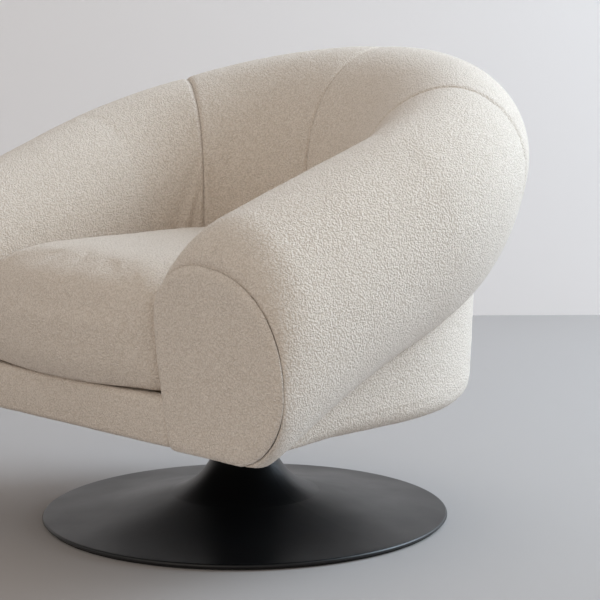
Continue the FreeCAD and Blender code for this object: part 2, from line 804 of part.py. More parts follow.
def padding_arcs(points, place):
    """Four arcs round the padding, from the seam under the roll over its ridge to its inner foot.

    place turns (reach, height) into a point in space.
    """
    near, far = math.sqrt(0.5), 1 - math.sqrt(0.5)
    seam, belly, bulge = points["seam"], points["belly"], points["bulge"]
    ridge, inner, foot = points["ridge"], points["inner"], points["foot"]
    return [
        Part.Arc(place(*seam), place(*belly), place(*bulge)),
        Part.Arc(place(*bulge), place(*quarter(bulge, ridge, far, near)), place(*ridge)),
        Part.Arc(place(*ridge), place(*quarter(ridge, inner, near, far)), place(*inner)),
        Part.Arc(place(*inner), place(*quarter(inner, foot, 0.36, 0.5)), place(*foot)),
    ]


def open_wire(points, place):
    """Section over the seat board: its underside steps up along the bent wall to the seam."""
    wall_foot = (val("wall_reach"), board_top.value)
    mouth_height = max(points["seam"][1], board_top.value) + val("wall_thick") / 2
    mouth = (val("wall_reach"), mouth_height)
    edges = padding_arcs(points, place)
    edges += [Part.LineSegment(place(*points["foot"]), place(*wall_foot)),
              Part.LineSegment(place(*wall_foot), place(*mouth)),
              Part.LineSegment(place(*mouth), place(*points["seam"]))]
    return Part.Wire([edge.toShape() for edge in edges])


def closed_wire(points, place):
    """Section in front of the seat board: its underside is one straight line."""
    edges = padding_arcs(points, place)
    edges.append(Part.LineSegment(place(*points["foot"]), place(*points["seam"])))
    return Part.Wire([edge.toShape() for edge in edges])


def straight_place(y):
    return lambda reach, height: FreeCAD.Vector(reach, y, height)


def round_place(angle):
    cosine, sine = math.cos(math.radians(angle)), math.sin(math.radians(angle))
    centre = -val("back_centre")
    return lambda reach, height: FreeCAD.Vector(reach * cosine, centre + reach * sine, height)


def arm_edge(grow=0.0):
    """The arm's front edge: from the flat front's outline, rounding over to the full section."""
    full = section_points(full_front(), False, grow)
    full["foot"] = (full["foot"][0], val("seam_front") - grow)
    flat = front_points(full, grow)
    y_panel = val("panel_thick") - val("panel_front")
    steps = 7
    wires = []
    for i in range(steps + 1):
        turn = math.pi / 2 * i / steps
        y = y_panel + (full_front() - y_panel) * (1 - math.cos(turn))
        wires.append(closed_wire(between(flat, full, math.sin(turn)), straight_place(y)))
    return Part.makeLoft(wires, True, True)


def arm_run(grow=0.0):
    """The right arm behind its front edge: a straight run, then the turn up to the cross seam."""
    centre = -val("back_centre")
    wires = []
    for share in (0.0, 0.33, 0.67, 1.0):
        y = full_front() + (centre - full_front()) * share
        wires.append(open_wire(section_points(y, False, grow), straight_place(y)))
    for share in (0.5, 1.0):
        angle = val("split_angle") * share
        wires.append(open_wire(section_points(angle, True, grow), round_place(angle)))
    return Part.makeLoft(wires, True, False)


def back_run(grow=0.0):
    """The right half of the back, from the cross seam to the middle."""
    start = val("split_angle")
    steps = 4
    angles = [start + (90 - start) * i / steps for i in range(steps + 1)]
    wires = [open_wire(section_points(angle, True, grow), round_place(angle)) for angle in angles]
    return Part.makeLoft(wires, True, False)


def board_block(gap):
    """The space of the seat board and of what lies under it, grown by a gap."""
    low = val("underside_height") - gap
    block = d_face(val("wall_reach") + gap, -val("board_front") - gap, low)
    return block.extrude(FreeCAD.Vector(0, 0, board_top.value + gap - low))


def rail_block(gap):
    """The front rail's space, grown by a gap."""
    half = val("wall_reach") - val("post_width") + gap
    y_low = -val("board_front") - val("rail_thick") - gap
    return Part.makeBox(2 * half, val("rail_thick") + 2 * gap, val("rail_top") - val("underside_height") + 2 * gap,
                        FreeCAD.Vector(-half, y_low, val("underside_height") - gap))


def roll_pieces():
    """The roll's four lengths, cut out round the wall, the posts and the seat board."""
    gap = val("soft_gap")
    frame = [wall_solid(gap), post_solid(gap), rail_block(gap)]
    edge = arm_edge().cut(frame + [board_block(gap)])
    run = arm_run().cut(frame)
    arm = edge.fuse(run)
    back = back_run().cut([wall_solid(gap), back_post_solid(gap)])
    for label, shape in (("arm_roll", arm), ("back_roll", back)):
        right = feature(label + "_right", shape)
        mirrored(right, label + "_left")


def roll_tools(gap):
    """The whole roll and its front panels grown by a gap, both sides, for cutting other covers clear."""
    full = section_points(full_front(), False, gap)
    front = Part.Face(closed_wire(front_points(full, gap), straight_place(-val("panel_front") - 1)))
    right = [arm_edge(gap), arm_run(gap), back_run(gap),
             front.extrude(FreeCAD.Vector(0, val("panel_thick") + 1, 0))]
    mid_plane = FreeCAD.Vector(1, 0, 0)
    return right + [shape.mirror(FreeCAD.Vector(), mid_plane) for shape in right]


def front_panels():
    """Flat padded panels that close the arm fronts, their rims softened towards the front."""
    y_back = val("panel_thick") - val("panel_front")
    full = front_points(section_points(full_front(), False))
    middle = {name: ((full["bulge"][0] + full["inner"][0]) / 2, full["bulge"][1]) for name in full}
    soft = between(full, middle, 0.03)
    wires = []
    for share, points in ((0.0, full), (0.65, between(full, soft, 0.12)), (1.0, soft)):
        wires.append(closed_wire(points, straight_place(y_back - val("panel_thick") * share)))
    right = feature("arm_front_panel_right", Part.makeLoft(wires, True, True))
    mirrored(right, "arm_front_panel_left")


def tub_cover():
    """Padded cover of the lower tub: a tapered wall with a soft lower edge, cut under the roll."""
    low, high = val("underside_height"), val("seam_back") + val("deck_foam_thick")
    gap = val("soft_gap")
    front = full_front()
    outer = Part.makeLoft([d_face(val("cover_reach"), front, low).OuterWire,
                           d_face(val("seam_reach"), front, high).OuterWire], True, True)
    lower_edge = [edge for edge in outer.Edges
                  if all(abs(vertex.Point.z - low) < 1e-6 for vertex in edge.Vertexes)
                  and not all(abs(vertex.Point.y - front) < 1e-6 for vertex in edge.Vertexes)]
    outer = outer.makeFillet(val("cover_edge"), lower_edge)
    inner_reach = val("wall_reach") + val("wall_thick") + gap
    inner = d_face(inner_reach, front - 1, low - 1).extrude(FreeCAD.Vector(0, 0, high))
    cover = outer.cut(inner)
    cover = cover.cut(roll_tools(gap))
    largest = max(cover.Solids, key=lambda solid: solid.Volume)
    return feature("tub_cover", largest)


def rail_cover():
    """Padded strip over the front rail, fitted between the arm fronts."""
    half = val("foot_reach") + 10
    y_high = -val("board_front") - val("rail_thick")
    y_low = y_high - val("rail_cover_thick")
    strip = Part.makeBox(2 * half, y_high - y_low, deck_top.value - val("underside_height"),
                         FreeCAD.Vector(-half, y_low, val("underside_height")))
    rim = [edge for edge in strip.Edges if all(abs(v.Point.y - y_low) < 1e-6 for v in edge.Vertexes)
           and abs(edge.tangentAt(edge.FirstParameter).x) > 0.99]
    strip = strip.makeFillet(val("rail_cover_edge"), rim).cut(roll_tools(val("soft_gap")))
    return feature("front_rail_cover", max(strip.Solids, key=lambda solid: solid.Volume))


def seat_cushion():
    """Crowned cushion: a rounded square section all round, drawn in at its foot and towards the crown."""
    low, high = cushion_bottom.value, val("cushion_top")
    middle = low + (high - low) * 0.42
    power = 2 / val("cushion_squareness")
    wires = []
    for degrees in (-58, -40, -22, -8, 4, 14, 26, 38, 50, 62, 73, 82):
        turn = math.radians(degrees)
        rise = abs(math.sin(turn)) ** power
        height = middle + (high - middle) * rise if degrees > 0 else middle - (middle - low) * rise
        if degrees == -58:
            height = low
        share = (height - low) / (high - low)
        half = val("cushion_low_half") + (val("cushion_high_half") - val("cushion_low_half")) * share
        inset = half * (1 - math.cos(turn) ** power)
        if degrees < 0:
            inset = inset * val("cushion_foot_draw")
        wires.append(seat_plan(half - inset, -val("cushion_front") + inset,
                               val("cushion_belly") * (half - inset) / half,
                               val("cushion_back") - inset, height))
    return feature("seat_cushion", Part.makeLoft(wires, True, False))


for make in (trumpet_shell, floor_pad, ballast_disc, column, foot_bolts, neck_sleeve, upper_bush, lower_bush,
             spindle, retaining_washer, retaining_bolt, swivel_plate, plate_bolts, board_nuts,
             seat_board, dust_cover, frame_pieces, front_rail, spring_frame, straps, deck_foam,
             roll_pieces, front_panels, tub_cover, rail_cover, seat_cushion):
    make()
doc.recompute()

for item in doc.Objects:
    if "Invalid" in item.State or "Error" in item.State:
        raise RuntimeError("failed: %s %s" % (item.Label, item.State))
for node in nodes:
    if node.Shape.isNull() or not node.Shape.isValid():
        raise RuntimeError("bad shape: " + node.Label)

os.makedirs("parts", exist_ok=True)
for node in nodes:
    node.Shape.exportStep(os.path.join("parts", node.Label + ".step"))
    box = node.Shape.BoundBox
    print("%-24s solids %d volume %9.0f  x %.1f..%.1f  y %.1f..%.1f  z %.1f..%.1f" % (
        node.Label, len(node.Shape.Solids), node.Shape.Volume,
        box.XMin, box.XMax, box.YMin, box.YMax, box.ZMin, box.ZMax))
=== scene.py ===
import itertools
import math

import bpy
import numpy as np
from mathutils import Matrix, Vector


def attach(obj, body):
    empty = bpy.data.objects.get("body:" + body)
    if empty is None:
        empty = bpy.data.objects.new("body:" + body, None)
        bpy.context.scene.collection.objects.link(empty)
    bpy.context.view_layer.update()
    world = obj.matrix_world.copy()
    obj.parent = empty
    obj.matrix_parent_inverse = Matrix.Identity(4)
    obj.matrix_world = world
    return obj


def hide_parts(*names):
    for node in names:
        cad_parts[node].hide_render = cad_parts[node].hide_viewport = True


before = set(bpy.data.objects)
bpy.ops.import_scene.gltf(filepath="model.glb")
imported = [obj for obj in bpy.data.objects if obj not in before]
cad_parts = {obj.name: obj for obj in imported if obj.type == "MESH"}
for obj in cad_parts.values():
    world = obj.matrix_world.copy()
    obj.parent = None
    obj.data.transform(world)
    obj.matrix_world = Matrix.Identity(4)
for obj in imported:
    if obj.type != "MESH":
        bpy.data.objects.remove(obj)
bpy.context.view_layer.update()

bl_info = {
    "name": "Tub chair",
    "version": (1, 0, 0),
    "blender": (4, 5, 0),
    "location": "3D View > Sidebar > Tub chair",
    "description": "Sews the covers of a swivel tub chair, finishes its foot and lights it",
    "category": "Object",
}

# Sizes of the frame under the covers, in metres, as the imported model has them

BACK_CENTRE = 0.030
FULL_FRONT = -0.285
PANEL_BACK = -0.331
PANEL_SEAM = -0.3375
PANEL_FRONT = -0.343
BOARD_FRONT = -0.292
BOARD_TOP = 0.2103
UNDERSIDE = 0.190
RAIL_FACE = -0.316
DECK_TOP = 0.2545
WALL_OUTSIDE = 0.3185
SPLIT_ANGLE = math.radians(31)

# Each line along the roll: reach from the middle, height at the front, height at the back, arch halfway
ROLL_LINES = {
    "seam": (0.358, 0.190, 0.375, 0.034),
    "bulge": (0.443, 0.318, 0.575, 0.030),
    "ridge": (0.318, 0.495, 0.690, 0.004),
}
BULGE_TAPER = 0.016
BELLY = (0.85, 0.66)
INNER_DROP = (0.112, 0.190)
INNER_REACH = 0.198
BACK_FULLNESS = 0.040
FOOT_REACH = 0.226
FOOT_FULLNESS = 0.074
PANEL_POINTS = {
    "seam": (0.366, 0.190),
    "ridge": (0.308, 0.429),
    "inner": (0.200, 0.377),
    "foot": (0.230, 0.190),
}
PANEL_BULGE_REACH = 0.439
PANEL_MIDDLE_HEIGHT = 0.318
PANEL_ROUNDING = 0.013
PANEL_CROWN = 0.0015
COVER_REACH = 0.350
COVER_TOP_REACH = 0.358
COVER_TOP_HEIGHT = 0.392
COVER_EDGE = 0.028
COVER_TUCK = 0.0055
RAIL_COVER_HALF = 0.2292
RAIL_COVER_DEPTH = 0.0225
RAIL_COVER_EDGE = 0.007
RAIL_COVER_BULGE = 0.0025
CUSHION_MIDDLE_SHARE = 0.42
CUSHION_SQUARENESS = 4
CUSHION_FOOT_DRAW = 0.12
CUSHION_CORNER_SHARE = 0.13
CUSHION_VOXEL = 0.006


class RollSizes(bpy.types.PropertyGroup):
    """Sizes of the sewn roll and its seams."""

    grid: bpy.props.FloatProperty(
        name="Cloth grid", description="Distance between points of the cloth before it is refined",
        default=0.006, min=0.003, unit="LENGTH")
    groove: bpy.props.FloatProperty(
        name="Seam groove", description="Radius of the fold on each side of a seam",
        default=0.0036, min=0.001, unit="LENGTH")
    stuffing: bpy.props.FloatProperty(
        name="Stuffing", description="How far the padding stands proud between two seams",
        default=0.002, min=0.0, unit="LENGTH")
    padding: bpy.props.FloatProperty(
        name="Padding thickness", description="Depth of the padding under the cover",
        default=0.014, min=0.004, unit="LENGTH")


class CushionSizes(bpy.types.PropertyGroup):
    """Sizes of the loose seat cushion."""

    low_half: bpy.props.FloatProperty(
        name="Half width at the foot", description="Half the width between the arms, at the deck",
        default=0.2095, unit="LENGTH")
    high_half: bpy.props.FloatProperty(
        name="Half width at the crown", description="Half the width that the crown is drawn in to",
        default=0.1855, unit="LENGTH")
    bottom: bpy.props.FloatProperty(
        name="Underside", description="Height of the underside over the floor", default=0.2549, unit="LENGTH")
    top: bpy.props.FloatProperty(
        name="Crown", description="Height of the crown over the floor", default=0.4215, unit="LENGTH")
    front: bpy.props.FloatProperty(
        name="Front", description="How far the front stands before the swivel axis",
        default=0.335, unit="LENGTH")
    belly: bpy.props.FloatProperty(
        name="Front belly", description="How far the middle of the front bulges",
        default=0.018, unit="LENGTH")
    back: bpy.props.FloatProperty(
        name="Back", description="How far the back lies behind the swivel axis", default=0.123, unit="LENGTH")


class ClothLook(bpy.types.PropertyGroup):
    """Looped wool-look cloth."""

    colour: bpy.props.FloatVectorProperty(
        name="Cloth", description="Colour of the loops", subtype="COLOR", size=3, min=0, max=1,
        default=(0.87, 0.775, 0.68))
    # Painted shade: this darker colour is laid in the low places between the loops, where shade falls in the
    # pile
    painted_loop_shade: bpy.props.FloatVectorProperty(
        name="Painted shade between loops", description="Darker colour painted as shade between the loops", subtype="COLOR",
        size=3, min=0, max=1, default=(0.64, 0.55, 0.46))
    loop: bpy.props.FloatProperty(
        name="Loop size", description="Width of one tuft of loops", default=0.0050, unit="LENGTH")
    pile: bpy.props.FloatProperty(
        name="Pile", description="Height of the tufts", default=0.0003, unit="LENGTH")


class StageLook(bpy.types.PropertyGroup):
    """Floor, wall and lamps."""

    floor: bpy.props.FloatVectorProperty(
        name="Floor", description="Colour of the floor", subtype="COLOR", size=3, min=0, max=1,
        default=(0.43, 0.40, 0.385))
    wall: bpy.props.FloatVectorProperty(
        name="Wall", description="Colour of the wall", subtype="COLOR", size=3, min=0, max=1,
        default=(0.92, 0.875, 0.855))
    key: bpy.props.FloatProperty(
        name="Key lamp", description="Power of the large soft lamp on the right",
        default=245.0, subtype="POWER")
    fill: bpy.props.FloatProperty(
        name="Fill lamp", description="Power of the weak warm lamp before the arm fronts", default=11.0,
        subtype="POWER")
    sky: bpy.props.FloatProperty(
        name="Room light", description="Strength of the even light of the room", default=0.53)


# Surfaces


def arc_through(first, middle, last, count):
    """Points of the circle through three points, from the first to the last by way of the middle.

    Each input is an array of (reach, height), one row per station. The centre is where the upright
    bisectors meet, and the angle runs evenly from the first point's to the last point's.
    """
    (ax, az), (bx, bz), (cx, cz) = first.T, middle.T, last.T
    double = 2 * (ax * (bz - cz) + bx * (cz - az) + cx * (az - bz))
    aa, bb, cc = ax**2 + az**2, bx**2 + bz**2, cx**2 + cz**2
    centre_x = (aa * (bz - cz) + bb * (cz - az) + cc * (az - bz)) / double
    centre_z = (aa * (cx - bx) + bb * (ax - cx) + cc * (bx - ax)) / double
    start = np.arctan2(az - centre_z, ax - centre_x)
    end = np.arctan2(cz - centre_z, cx - centre_x)
    sweep = np.where(double > 0, (end - start) % (2 * math.pi), -((start - end) % (2 * math.pi)))
    share = np.linspace(0, 1, count, endpoint=False)
    angle = start[:, None] + sweep[:, None] * share
    radius = np.hypot(ax - centre_x, az - centre_z)[:, None]
    return np.stack([centre_x[:, None] + radius * np.cos(angle),
                     centre_z[:, None] + radius * np.sin(angle)], axis=2)


def share_point(start, end, share_reach, share_height):
    """Point of a rounded corner: its shares of the way from start to end, in reach and in height."""
    return np.stack([start[:, 0] + (end[:, 0] - start[:, 0]) * share_reach,
                     start[:, 1] + (end[:, 1] - start[:, 1]) * share_height], axis=1)


def roll_sections(y, angle, grown, counts):
    """Sections of the padded roll, as an array of stations by points by (reach, height).

    A line's height at a station is front + (back - front) t + arch 4 t (1 - t), where t is the share of the
    way from the arm's front to the back along Y. On the round back the station is an angle about the
    upright axis through (0, -BACK_CENTRE), and y there is reach times its sine, less BACK_CENTRE. Circle arcs
    join seam, belly, bulge, ridge, inner face and foot, and the bulge draws nearer by its taper times the
    angle's sine. grown blends from the flat front's outline at 0 to
    the full section at 1.
    """
    turned = angle > 0

    def y_at(reach):
        return np.where(turned, reach * np.sin(angle) - BACK_CENTRE, y)

    def share(reach):
        return (y_at(reach) - FULL_FRONT) / (reach - BACK_CENTRE - FULL_FRONT)

    def line(name):
        reach, front, back, arch = ROLL_LINES[name]
        taper = BULGE_TAPER if name == "bulge" else 0
        reach = np.where(turned, reach - taper * np.sin(angle), reach)
        t = share(reach)
        return np.stack([reach, front + (back - front) * t + arch * 4 * t * (1 - t)], axis=1)

    along = share(ROLL_LINES["ridge"][0])
    sweep = np.sin(angle) ** 2
    seam, bulge, ridge = line("seam"), line("bulge"), line("ridge")
    inner = np.stack([INNER_REACH - BACK_FULLNESS * sweep,
                      ridge[:, 1] - (INNER_DROP[0] + (INNER_DROP[1] - INNER_DROP[0]) * along)], axis=1)
    foot_height = np.where(y < BOARD_FRONT - 0.0005, UNDERSIDE, BOARD_TOP)
    foot = np.stack([FOOT_REACH - FOOT_FULLNESS * sweep, foot_height], axis=1)
    if (grown < 1).any():
        flat = {name: np.broadcast_to(np.array(point), seam.shape) for name, point in PANEL_POINTS.items()}
        flat["bulge"] = np.stack([np.full_like(grown, PANEL_BULGE_REACH), bulge[:, 1]], axis=1)
        weight = grown[:, None]
        seam = flat["seam"] + (seam - flat["seam"]) * weight
        bulge = flat["bulge"] + (bulge - flat["bulge"]) * weight
        ridge = flat["ridge"] + (ridge - flat["ridge"]) * weight
        inner = flat["inner"] + (inner - flat["inner"]) * weight
        foot = np.stack([flat["foot"][:, 0] + (foot[:, 0] - flat["foot"][:, 0]) * grown, foot_height], axis=1)
    near, far = math.sqrt(0.5), 1 - math.sqrt(0.5)
    belly = share_point(seam, bulge, BELLY[0] + (BELLY[1] - BELLY[0]) * along, 0.5)
    parts = [
        arc_through(seam, belly, bulge, counts[0]),
        arc_through(bulge, share_point(bulge, ridge, far, near), ridge, counts[1]),
        arc_through(ridge, share_point(ridge, inner, near, far), inner, counts[2]),
        arc_through(inner, share_point(inner, foot, 0.36, 0.5), foot, counts[3]),
        foot[:, None, :],
    ]
    return np.concatenate(parts, axis=1)


def soften(sections, passes):
    """Rounds the joints between arcs: each point moves to a quarter, a half and a quarter of itself and
    its two neighbours along the section, and the two ends stay."""
    for _ in range(passes):
        middle = 0.25 * sections[:, :-2] + 0.5 * sections[:, 1:-1] + 0.25 * sections[:, 2:]
        sections = np.concatenate([sections[:, :1], middle, sections[:, -1:]], axis=1)
    return sections


def place_sections(sections, y, angle):
    """Carries (reach, height) sections to their stations: straight ones at their y, the others turned."""
    reach, height = sections[..., 0], sections[..., 1]
    turned = (angle > 0)[:, None]
    across = np.where(turned, reach * np.cos(angle)[:, None], reach)
    along = np.where(turned, reach * np.sin(angle)[:, None] - BACK_CENTRE, y[:, None])
    return np.stack([across, along, height], axis=2)


def surface_normals(grid):
    """Unit normals of a grid of points: the cross product of its two directions."""
    normal = np.cross(np.gradient(grid, axis=0), np.gradient(grid, axis=1))
    return normal / np.maximum(np.linalg.norm(normal, axis=2, keepdims=True), 1e-12)


def ends_distance(grid, axis):
    """Distance of each point from the nearer end of its row, along the surface."""
    step = np.linalg.norm(np.diff(grid, axis=axis), axis=2)
    zero = np.zeros_like(np.take(step, [0], axis=axis))
    walked = np.concatenate([zero, np.cumsum(step, axis=axis)], axis=axis)
    whole = np.take(walked, [-1], axis=axis)
    return walked, whole - walked


def fold(distance, radius):
    """Depth of a rounded edge at a distance from it: a quarter circle that is radius deep at the edge."""
    share = np.clip(1 - distance / radius, 0, 1)
    return radius * (1 - np.sqrt(1 - share**2))


def slab_faces(rows, columns):
    """Quads of a closed slab: an outer and an inner grid of rows by columns points, and the rim between."""
    index = np.arange(rows * columns).reshape(rows, columns)
    other = index + rows * columns

    def quads(a):
        return np.stack([a[:-1, :-1], a[1:, :-1], a[1:, 1:], a[:-1, 1:]], axis=2).reshape(-1, 4)

    rim = np.concatenate([index[:, 0], index[-1, 1:], index[-2::-1, -1], index[0, -2:0:-1]])
    follow = np.roll(rim, -1)
    walls = np.stack([rim, rim + rows * columns, follow + rows * columns, follow], axis=1)
    return np.concatenate([quads(index), quads(other)[:, ::-1], walls[:, ::-1]])


def linked_piece(name, points, faces):
    """Smooth-shaded mesh object at the origin from lists of points and faces."""
    mesh = bpy.data.meshes.new(name)
    mesh.from_pydata(points, [], faces)
    mesh.validate()
    mesh.polygons.foreach_set("use_smooth", np.ones(len(mesh.polygons), bool))
    piece = bpy.data.objects.new(name, mesh)
    bpy.context.scene.collection.objects.link(piece)
    return piece


def closed_mesh(name, points, faces):
    """Mesh object at the origin from arrays of points and faces, with its faces turned outwards."""
    corner = points[faces[:, :3]]
    volume = np.einsum("ij,ij->i", corner[:, 0], np.cross(corner[:, 1], corner[:, 2])).sum()
    if faces.shape[1] == 4:
        corner = points[faces[:, [0, 2, 3]]]
        volume += np.einsum("ij,ij->i", corner[:, 0], np.cross(corner[:, 1], corner[:, 2])).sum()
    if volume < 0:
        faces = faces[:, ::-1]
    return linked_piece(name, points.tolist(), faces.tolist())


def slab(name, outer, inner):
    """Closed padded sheet between an outer and an inner grid."""
    rows, columns = outer.shape[:2]
    points = np.concatenate([outer.reshape(-1, 3), inner.reshape(-1, 3)])
    return closed_mesh(name, points, slab_faces(rows, columns))


def read_points(mesh):
    points = np.empty(len(mesh.vertices) * 3)
    mesh.vertices.foreach_get("co", points)
    return points.reshape(-1, 3)


def bake_modifiers(piece):
    """Puts the piece's modifiers into its mesh."""
    seen = piece.evaluated_get(bpy.context.evaluated_depsgraph_get())
    finished = bpy.data.meshes.new_from_object(seen)
    old = piece.data
    piece.modifiers.clear()
    piece.data = finished
    bpy.data.meshes.remove(old)


def refine(piece, levels=1):
    """Subdivides the piece's mesh smoothly."""
    smooth = piece.modifiers.new("refine", "SUBSURF")
    smooth.levels = smooth.render_levels = levels
    bake_modifiers(piece)


def tuft_height(points, size, seed):
    """Height of looped tufts at points in space, 1 on a tuft and 0 between tufts.

    Space is cut into cubes of one tuft's size with one dot at a scattered place in each, and the height
    is one less the squared distance to the nearest dot.
    """
    scaled = points / size
    cell = np.floor(scaled).astype(np.int64)
    nearest = np.full(len(points), 9.0)
    for step in itertools.product((-1, 0, 1), repeat=3):
        cube = cell + np.array(step)
        key = cube[:, 0] * 73856093 ^ cube[:, 1] * 19349663 ^ cube[:, 2] * 83492791 ^ seed
        key = (key * 2654435761) & 0xFFFFFFFF
        dot = np.stack([key & 1023, (key >> 10) & 1023, (key >> 20) & 1023], axis=1) / 1023.0
        nearest = np.minimum(nearest, ((cube + dot - scaled) ** 2).sum(axis=1))
    return np.clip(1 - nearest * 1.3, 0, 1)


def add_pile(piece, seed):
    """Raises the tufts of the looped cloth and keeps their height as the attribute that its colour reads to
    paint shade between the tufts.
    """
    look = bpy.context.scene.chair_cloth
    mesh = piece.data
    points = read_points(mesh)
    normals = np.empty(len(points) * 3)
    mesh.vertex_normals.foreach_get("vector", normals)
    tuft = tuft_height(points, look.loop, seed)
    broad = tuft_height(points, look.loop * 9, seed + 7)
    lift = look.pile * (tuft - 0.45) + 0.0005 * (broad - 0.5)
    points += normals.reshape(-1, 3) * lift[:, None]
    mesh.vertices.foreach_set("co", points.ravel())
    mesh.update()
    layer = mesh.attributes.new("tuft", "FLOAT", "POINT")
    layer.data.foreach_set("value", tuft)


def puff(piece, held, pressure, limit, frames=20, looseness=0.0):
    """Blows the cover up as cloth over its padding. held holds one weight for each point, 1 where it is sewn
    down, no point moves further than the limit, and looseness is how much wider the cloth is cut."""
    scene = bpy.context.scene
    start = read_points(piece.data)
    group = piece.vertex_groups.new(name="sewn")
    for weight in np.unique(held):
        if weight > 0:
            group.add(np.flatnonzero(held == weight).tolist(), float(weight), "REPLACE")
    cloth = piece.modifiers.new("cloth", "CLOTH")
    settings = cloth.settings
    settings.quality = 4
    settings.mass = 0.25
    settings.tension_stiffness = 12
    settings.compression_stiffness = 12
    settings.shear_stiffness = 6
    settings.bending_stiffness = 0.8
    settings.use_pressure = True
    settings.uniform_pressure_force = pressure
    settings.vertex_group_mass = "sewn"
    settings.pin_stiffness = 1.0
    settings.effector_weights.gravity = 0
    settings.shrink_min = -looseness
    cloth.collision_settings.use_collision = False
    cloth.point_cache.frame_start = 1
    cloth.point_cache.frame_end = frames
    for frame_number in range(1, frames + 1):
        scene.frame_set(frame_number)
    bake_modifiers(piece)
    scene.frame_set(1)
    moved = read_points(piece.data) - start
    length = np.linalg.norm(moved, axis=1, keepdims=True)
    moved *= limit * np.tanh(length / limit) / np.maximum(length, 1e-9)
    piece.data.vertices.foreach_set("co", (start + moved).ravel())
    piece.data.update()
    piece.vertex_groups.clear()


# Materials


class Nodes:
    """Small helper that adds nodes to a material and joins them."""

    def __init__(self, name):
        self.material = bpy.data.materials.new(name)
        self.material.use_nodes = True
        self.tree = self.material.node_tree
        self.shader = next(node for node in self.tree.nodes if node.type == "BSDF_PRINCIPLED")

    def add(self, kind, **values):
        node = self.tree.nodes.new(kind)
        for key, value in values.items():
            setattr(node, key, value)
        return node

    def join(self, source, output, target, entry):
        self.tree.links.new(source.outputs[output], target.inputs[entry])

    def set(self, **values):
        for key, value in values.items():
            self.shader.inputs[key.replace("_", " ")].default_value = value

    def emboss(self, source, output, strength, distance):
        bump = self.add("ShaderNodeBump")
        bump.inputs["Strength"].default_value = strength
        bump.inputs["Distance"].default_value = distance
        self.join(source, output, bump, "Height")
        self.join(bump, "Normal", self.shader, "Normal")


def noise(nodes, source, scale, detail=2.0, rough=0.5):
    texture = nodes.add("ShaderNodeTexNoise")
    texture.inputs["Scale"].default_value = scale
    texture.inputs["Detail"].default_value = detail
    texture.inputs["Roughness"].default_value = rough
    nodes.join(source, "Object", texture, "Vector")
    return texture


def blend_colours(nodes, first, second):
    mix = nodes.add("ShaderNodeMix", data_type="RGBA")
    mix.inputs["A"].default_value = (*first, 1)
    mix.inputs["B"].default_value = (*second, 1)
    return mix


def ramp(nodes, source, output, low, high, low_value=0.0, high_value=1.0):
    node = nodes.add("ShaderNodeMapRange")
    node.inputs["From Min"].default_value = low
    node.inputs["From Max"].default_value = high
    node.inputs["To Min"].default_value = low_value
    node.inputs["To Max"].default_value = high_value
    nodes.join(source, output, node, "Value")
    return node


def looped_cloth(name):
    """Looped wool-look cloth: tufts from the mesh, curls of yarn as bump, and painted shade that darkens the
    colour between them.
    """
    look = bpy.context.scene.chair_cloth
    nodes = Nodes(name)
    place = nodes.add("ShaderNodeTexCoord")
    wander = noise(nodes, place, 210, 2.0)
    scatter = nodes.add("ShaderNodeVectorMath", operation="MULTIPLY_ADD")
    scatter.inputs[1].default_value = (0.0045, 0.0045, 0.0045)
    nodes.join(wander, "Color", scatter, 0)
    nodes.join(place, "Object", scatter, 2)
    curls = nodes.add("ShaderNodeTexVoronoi", feature="SMOOTH_F1")
    curls.inputs["Scale"].default_value = 400
    curls.inputs["Smoothness"].default_value = 0.35
    curls.inputs["Randomness"].default_value = 1.0
    nodes.join(scatter, 0, curls, "Vector")
    curl_height = ramp(nodes, curls, "Distance", 0.05, 0.75, 1.0, 0.0)
    yarn = noise(nodes, place, 760, 2.0, 0.6)
    sum_height = nodes.add("ShaderNodeMath", operation="MULTIPLY_ADD")
    sum_height.inputs[1].default_value = 0.45
    nodes.join(yarn, "Fac", sum_height, 0)
    nodes.join(curl_height, "Result", sum_height, 2)
    nodes.emboss(sum_height, "Value", 1.0, 0.0013)
    # Painted shade between the loops: the lower the tufts and curls, the nearer the colour comes to the
    # darker painted shade colour
    tuft = nodes.add("ShaderNodeAttribute", attribute_name="tuft")
    deep = nodes.add("ShaderNodeMath", operation="MULTIPLY_ADD")
    deep.inputs[1].default_value = 0.20
    nodes.join(tuft, "Fac", deep, 0)
    nodes.join(sum_height, "Value", deep, 2)
    share = ramp(nodes, deep, "Value", 0.25, 1.10)
    colour = blend_colours(nodes, look.painted_loop_shade, look.colour)
    nodes.join(share, "Result", colour, "Factor")
    cloud = noise(nodes, place, 7, 3.0)
    cloud_share = ramp(nodes, cloud, "Fac", 0.3, 0.7, 0.0, 0.10)
    warm = nodes.add("ShaderNodeMix", data_type="RGBA", blend_type="MULTIPLY")
    warm.inputs["B"].default_value = (0.86, 0.83, 0.79, 1)
    nodes.join(cloud_share, "Result", warm, "Factor")
    nodes.join(colour, "Result", warm, "A")
    nodes.join(warm, "Result", nodes.shader, "Base Color")
    nodes.set(Roughness=0.95, Sheen_Weight=0.25, Sheen_Roughness=0.6, Specular_IOR_Level=0.2)
    return nodes.material


def coated_metal(name, colour, roughness, grain=0.00012):
    """Powder coat: fine orange-peel bump, and a roughness that drifts a little."""
    nodes = Nodes(name)
    place = nodes.add("ShaderNodeTexCoord")
    peel = noise(nodes, place, 520, 2.0)
    nodes.emboss(peel, "Fac", 0.25, grain)
    drift = noise(nodes, place, 9, 4.0)
    dull = ramp(nodes, drift, "Fac", 0.3, 0.7, roughness - 0.04, roughness + 0.06)
    nodes.join(dull, "Result", nodes.shader, "Roughness")
    tone = blend_colours(nodes, colour, [part * 1.5 for part in colour])
    dust = ramp(nodes, drift, "Fac", 0.45, 0.8)
    nodes.join(dust, "Result", tone, "Factor")
    nodes.join(tone, "Result", nodes.shader, "Base Color")
    nodes.set(Specular_IOR_Level=0.4)
    return nodes.material


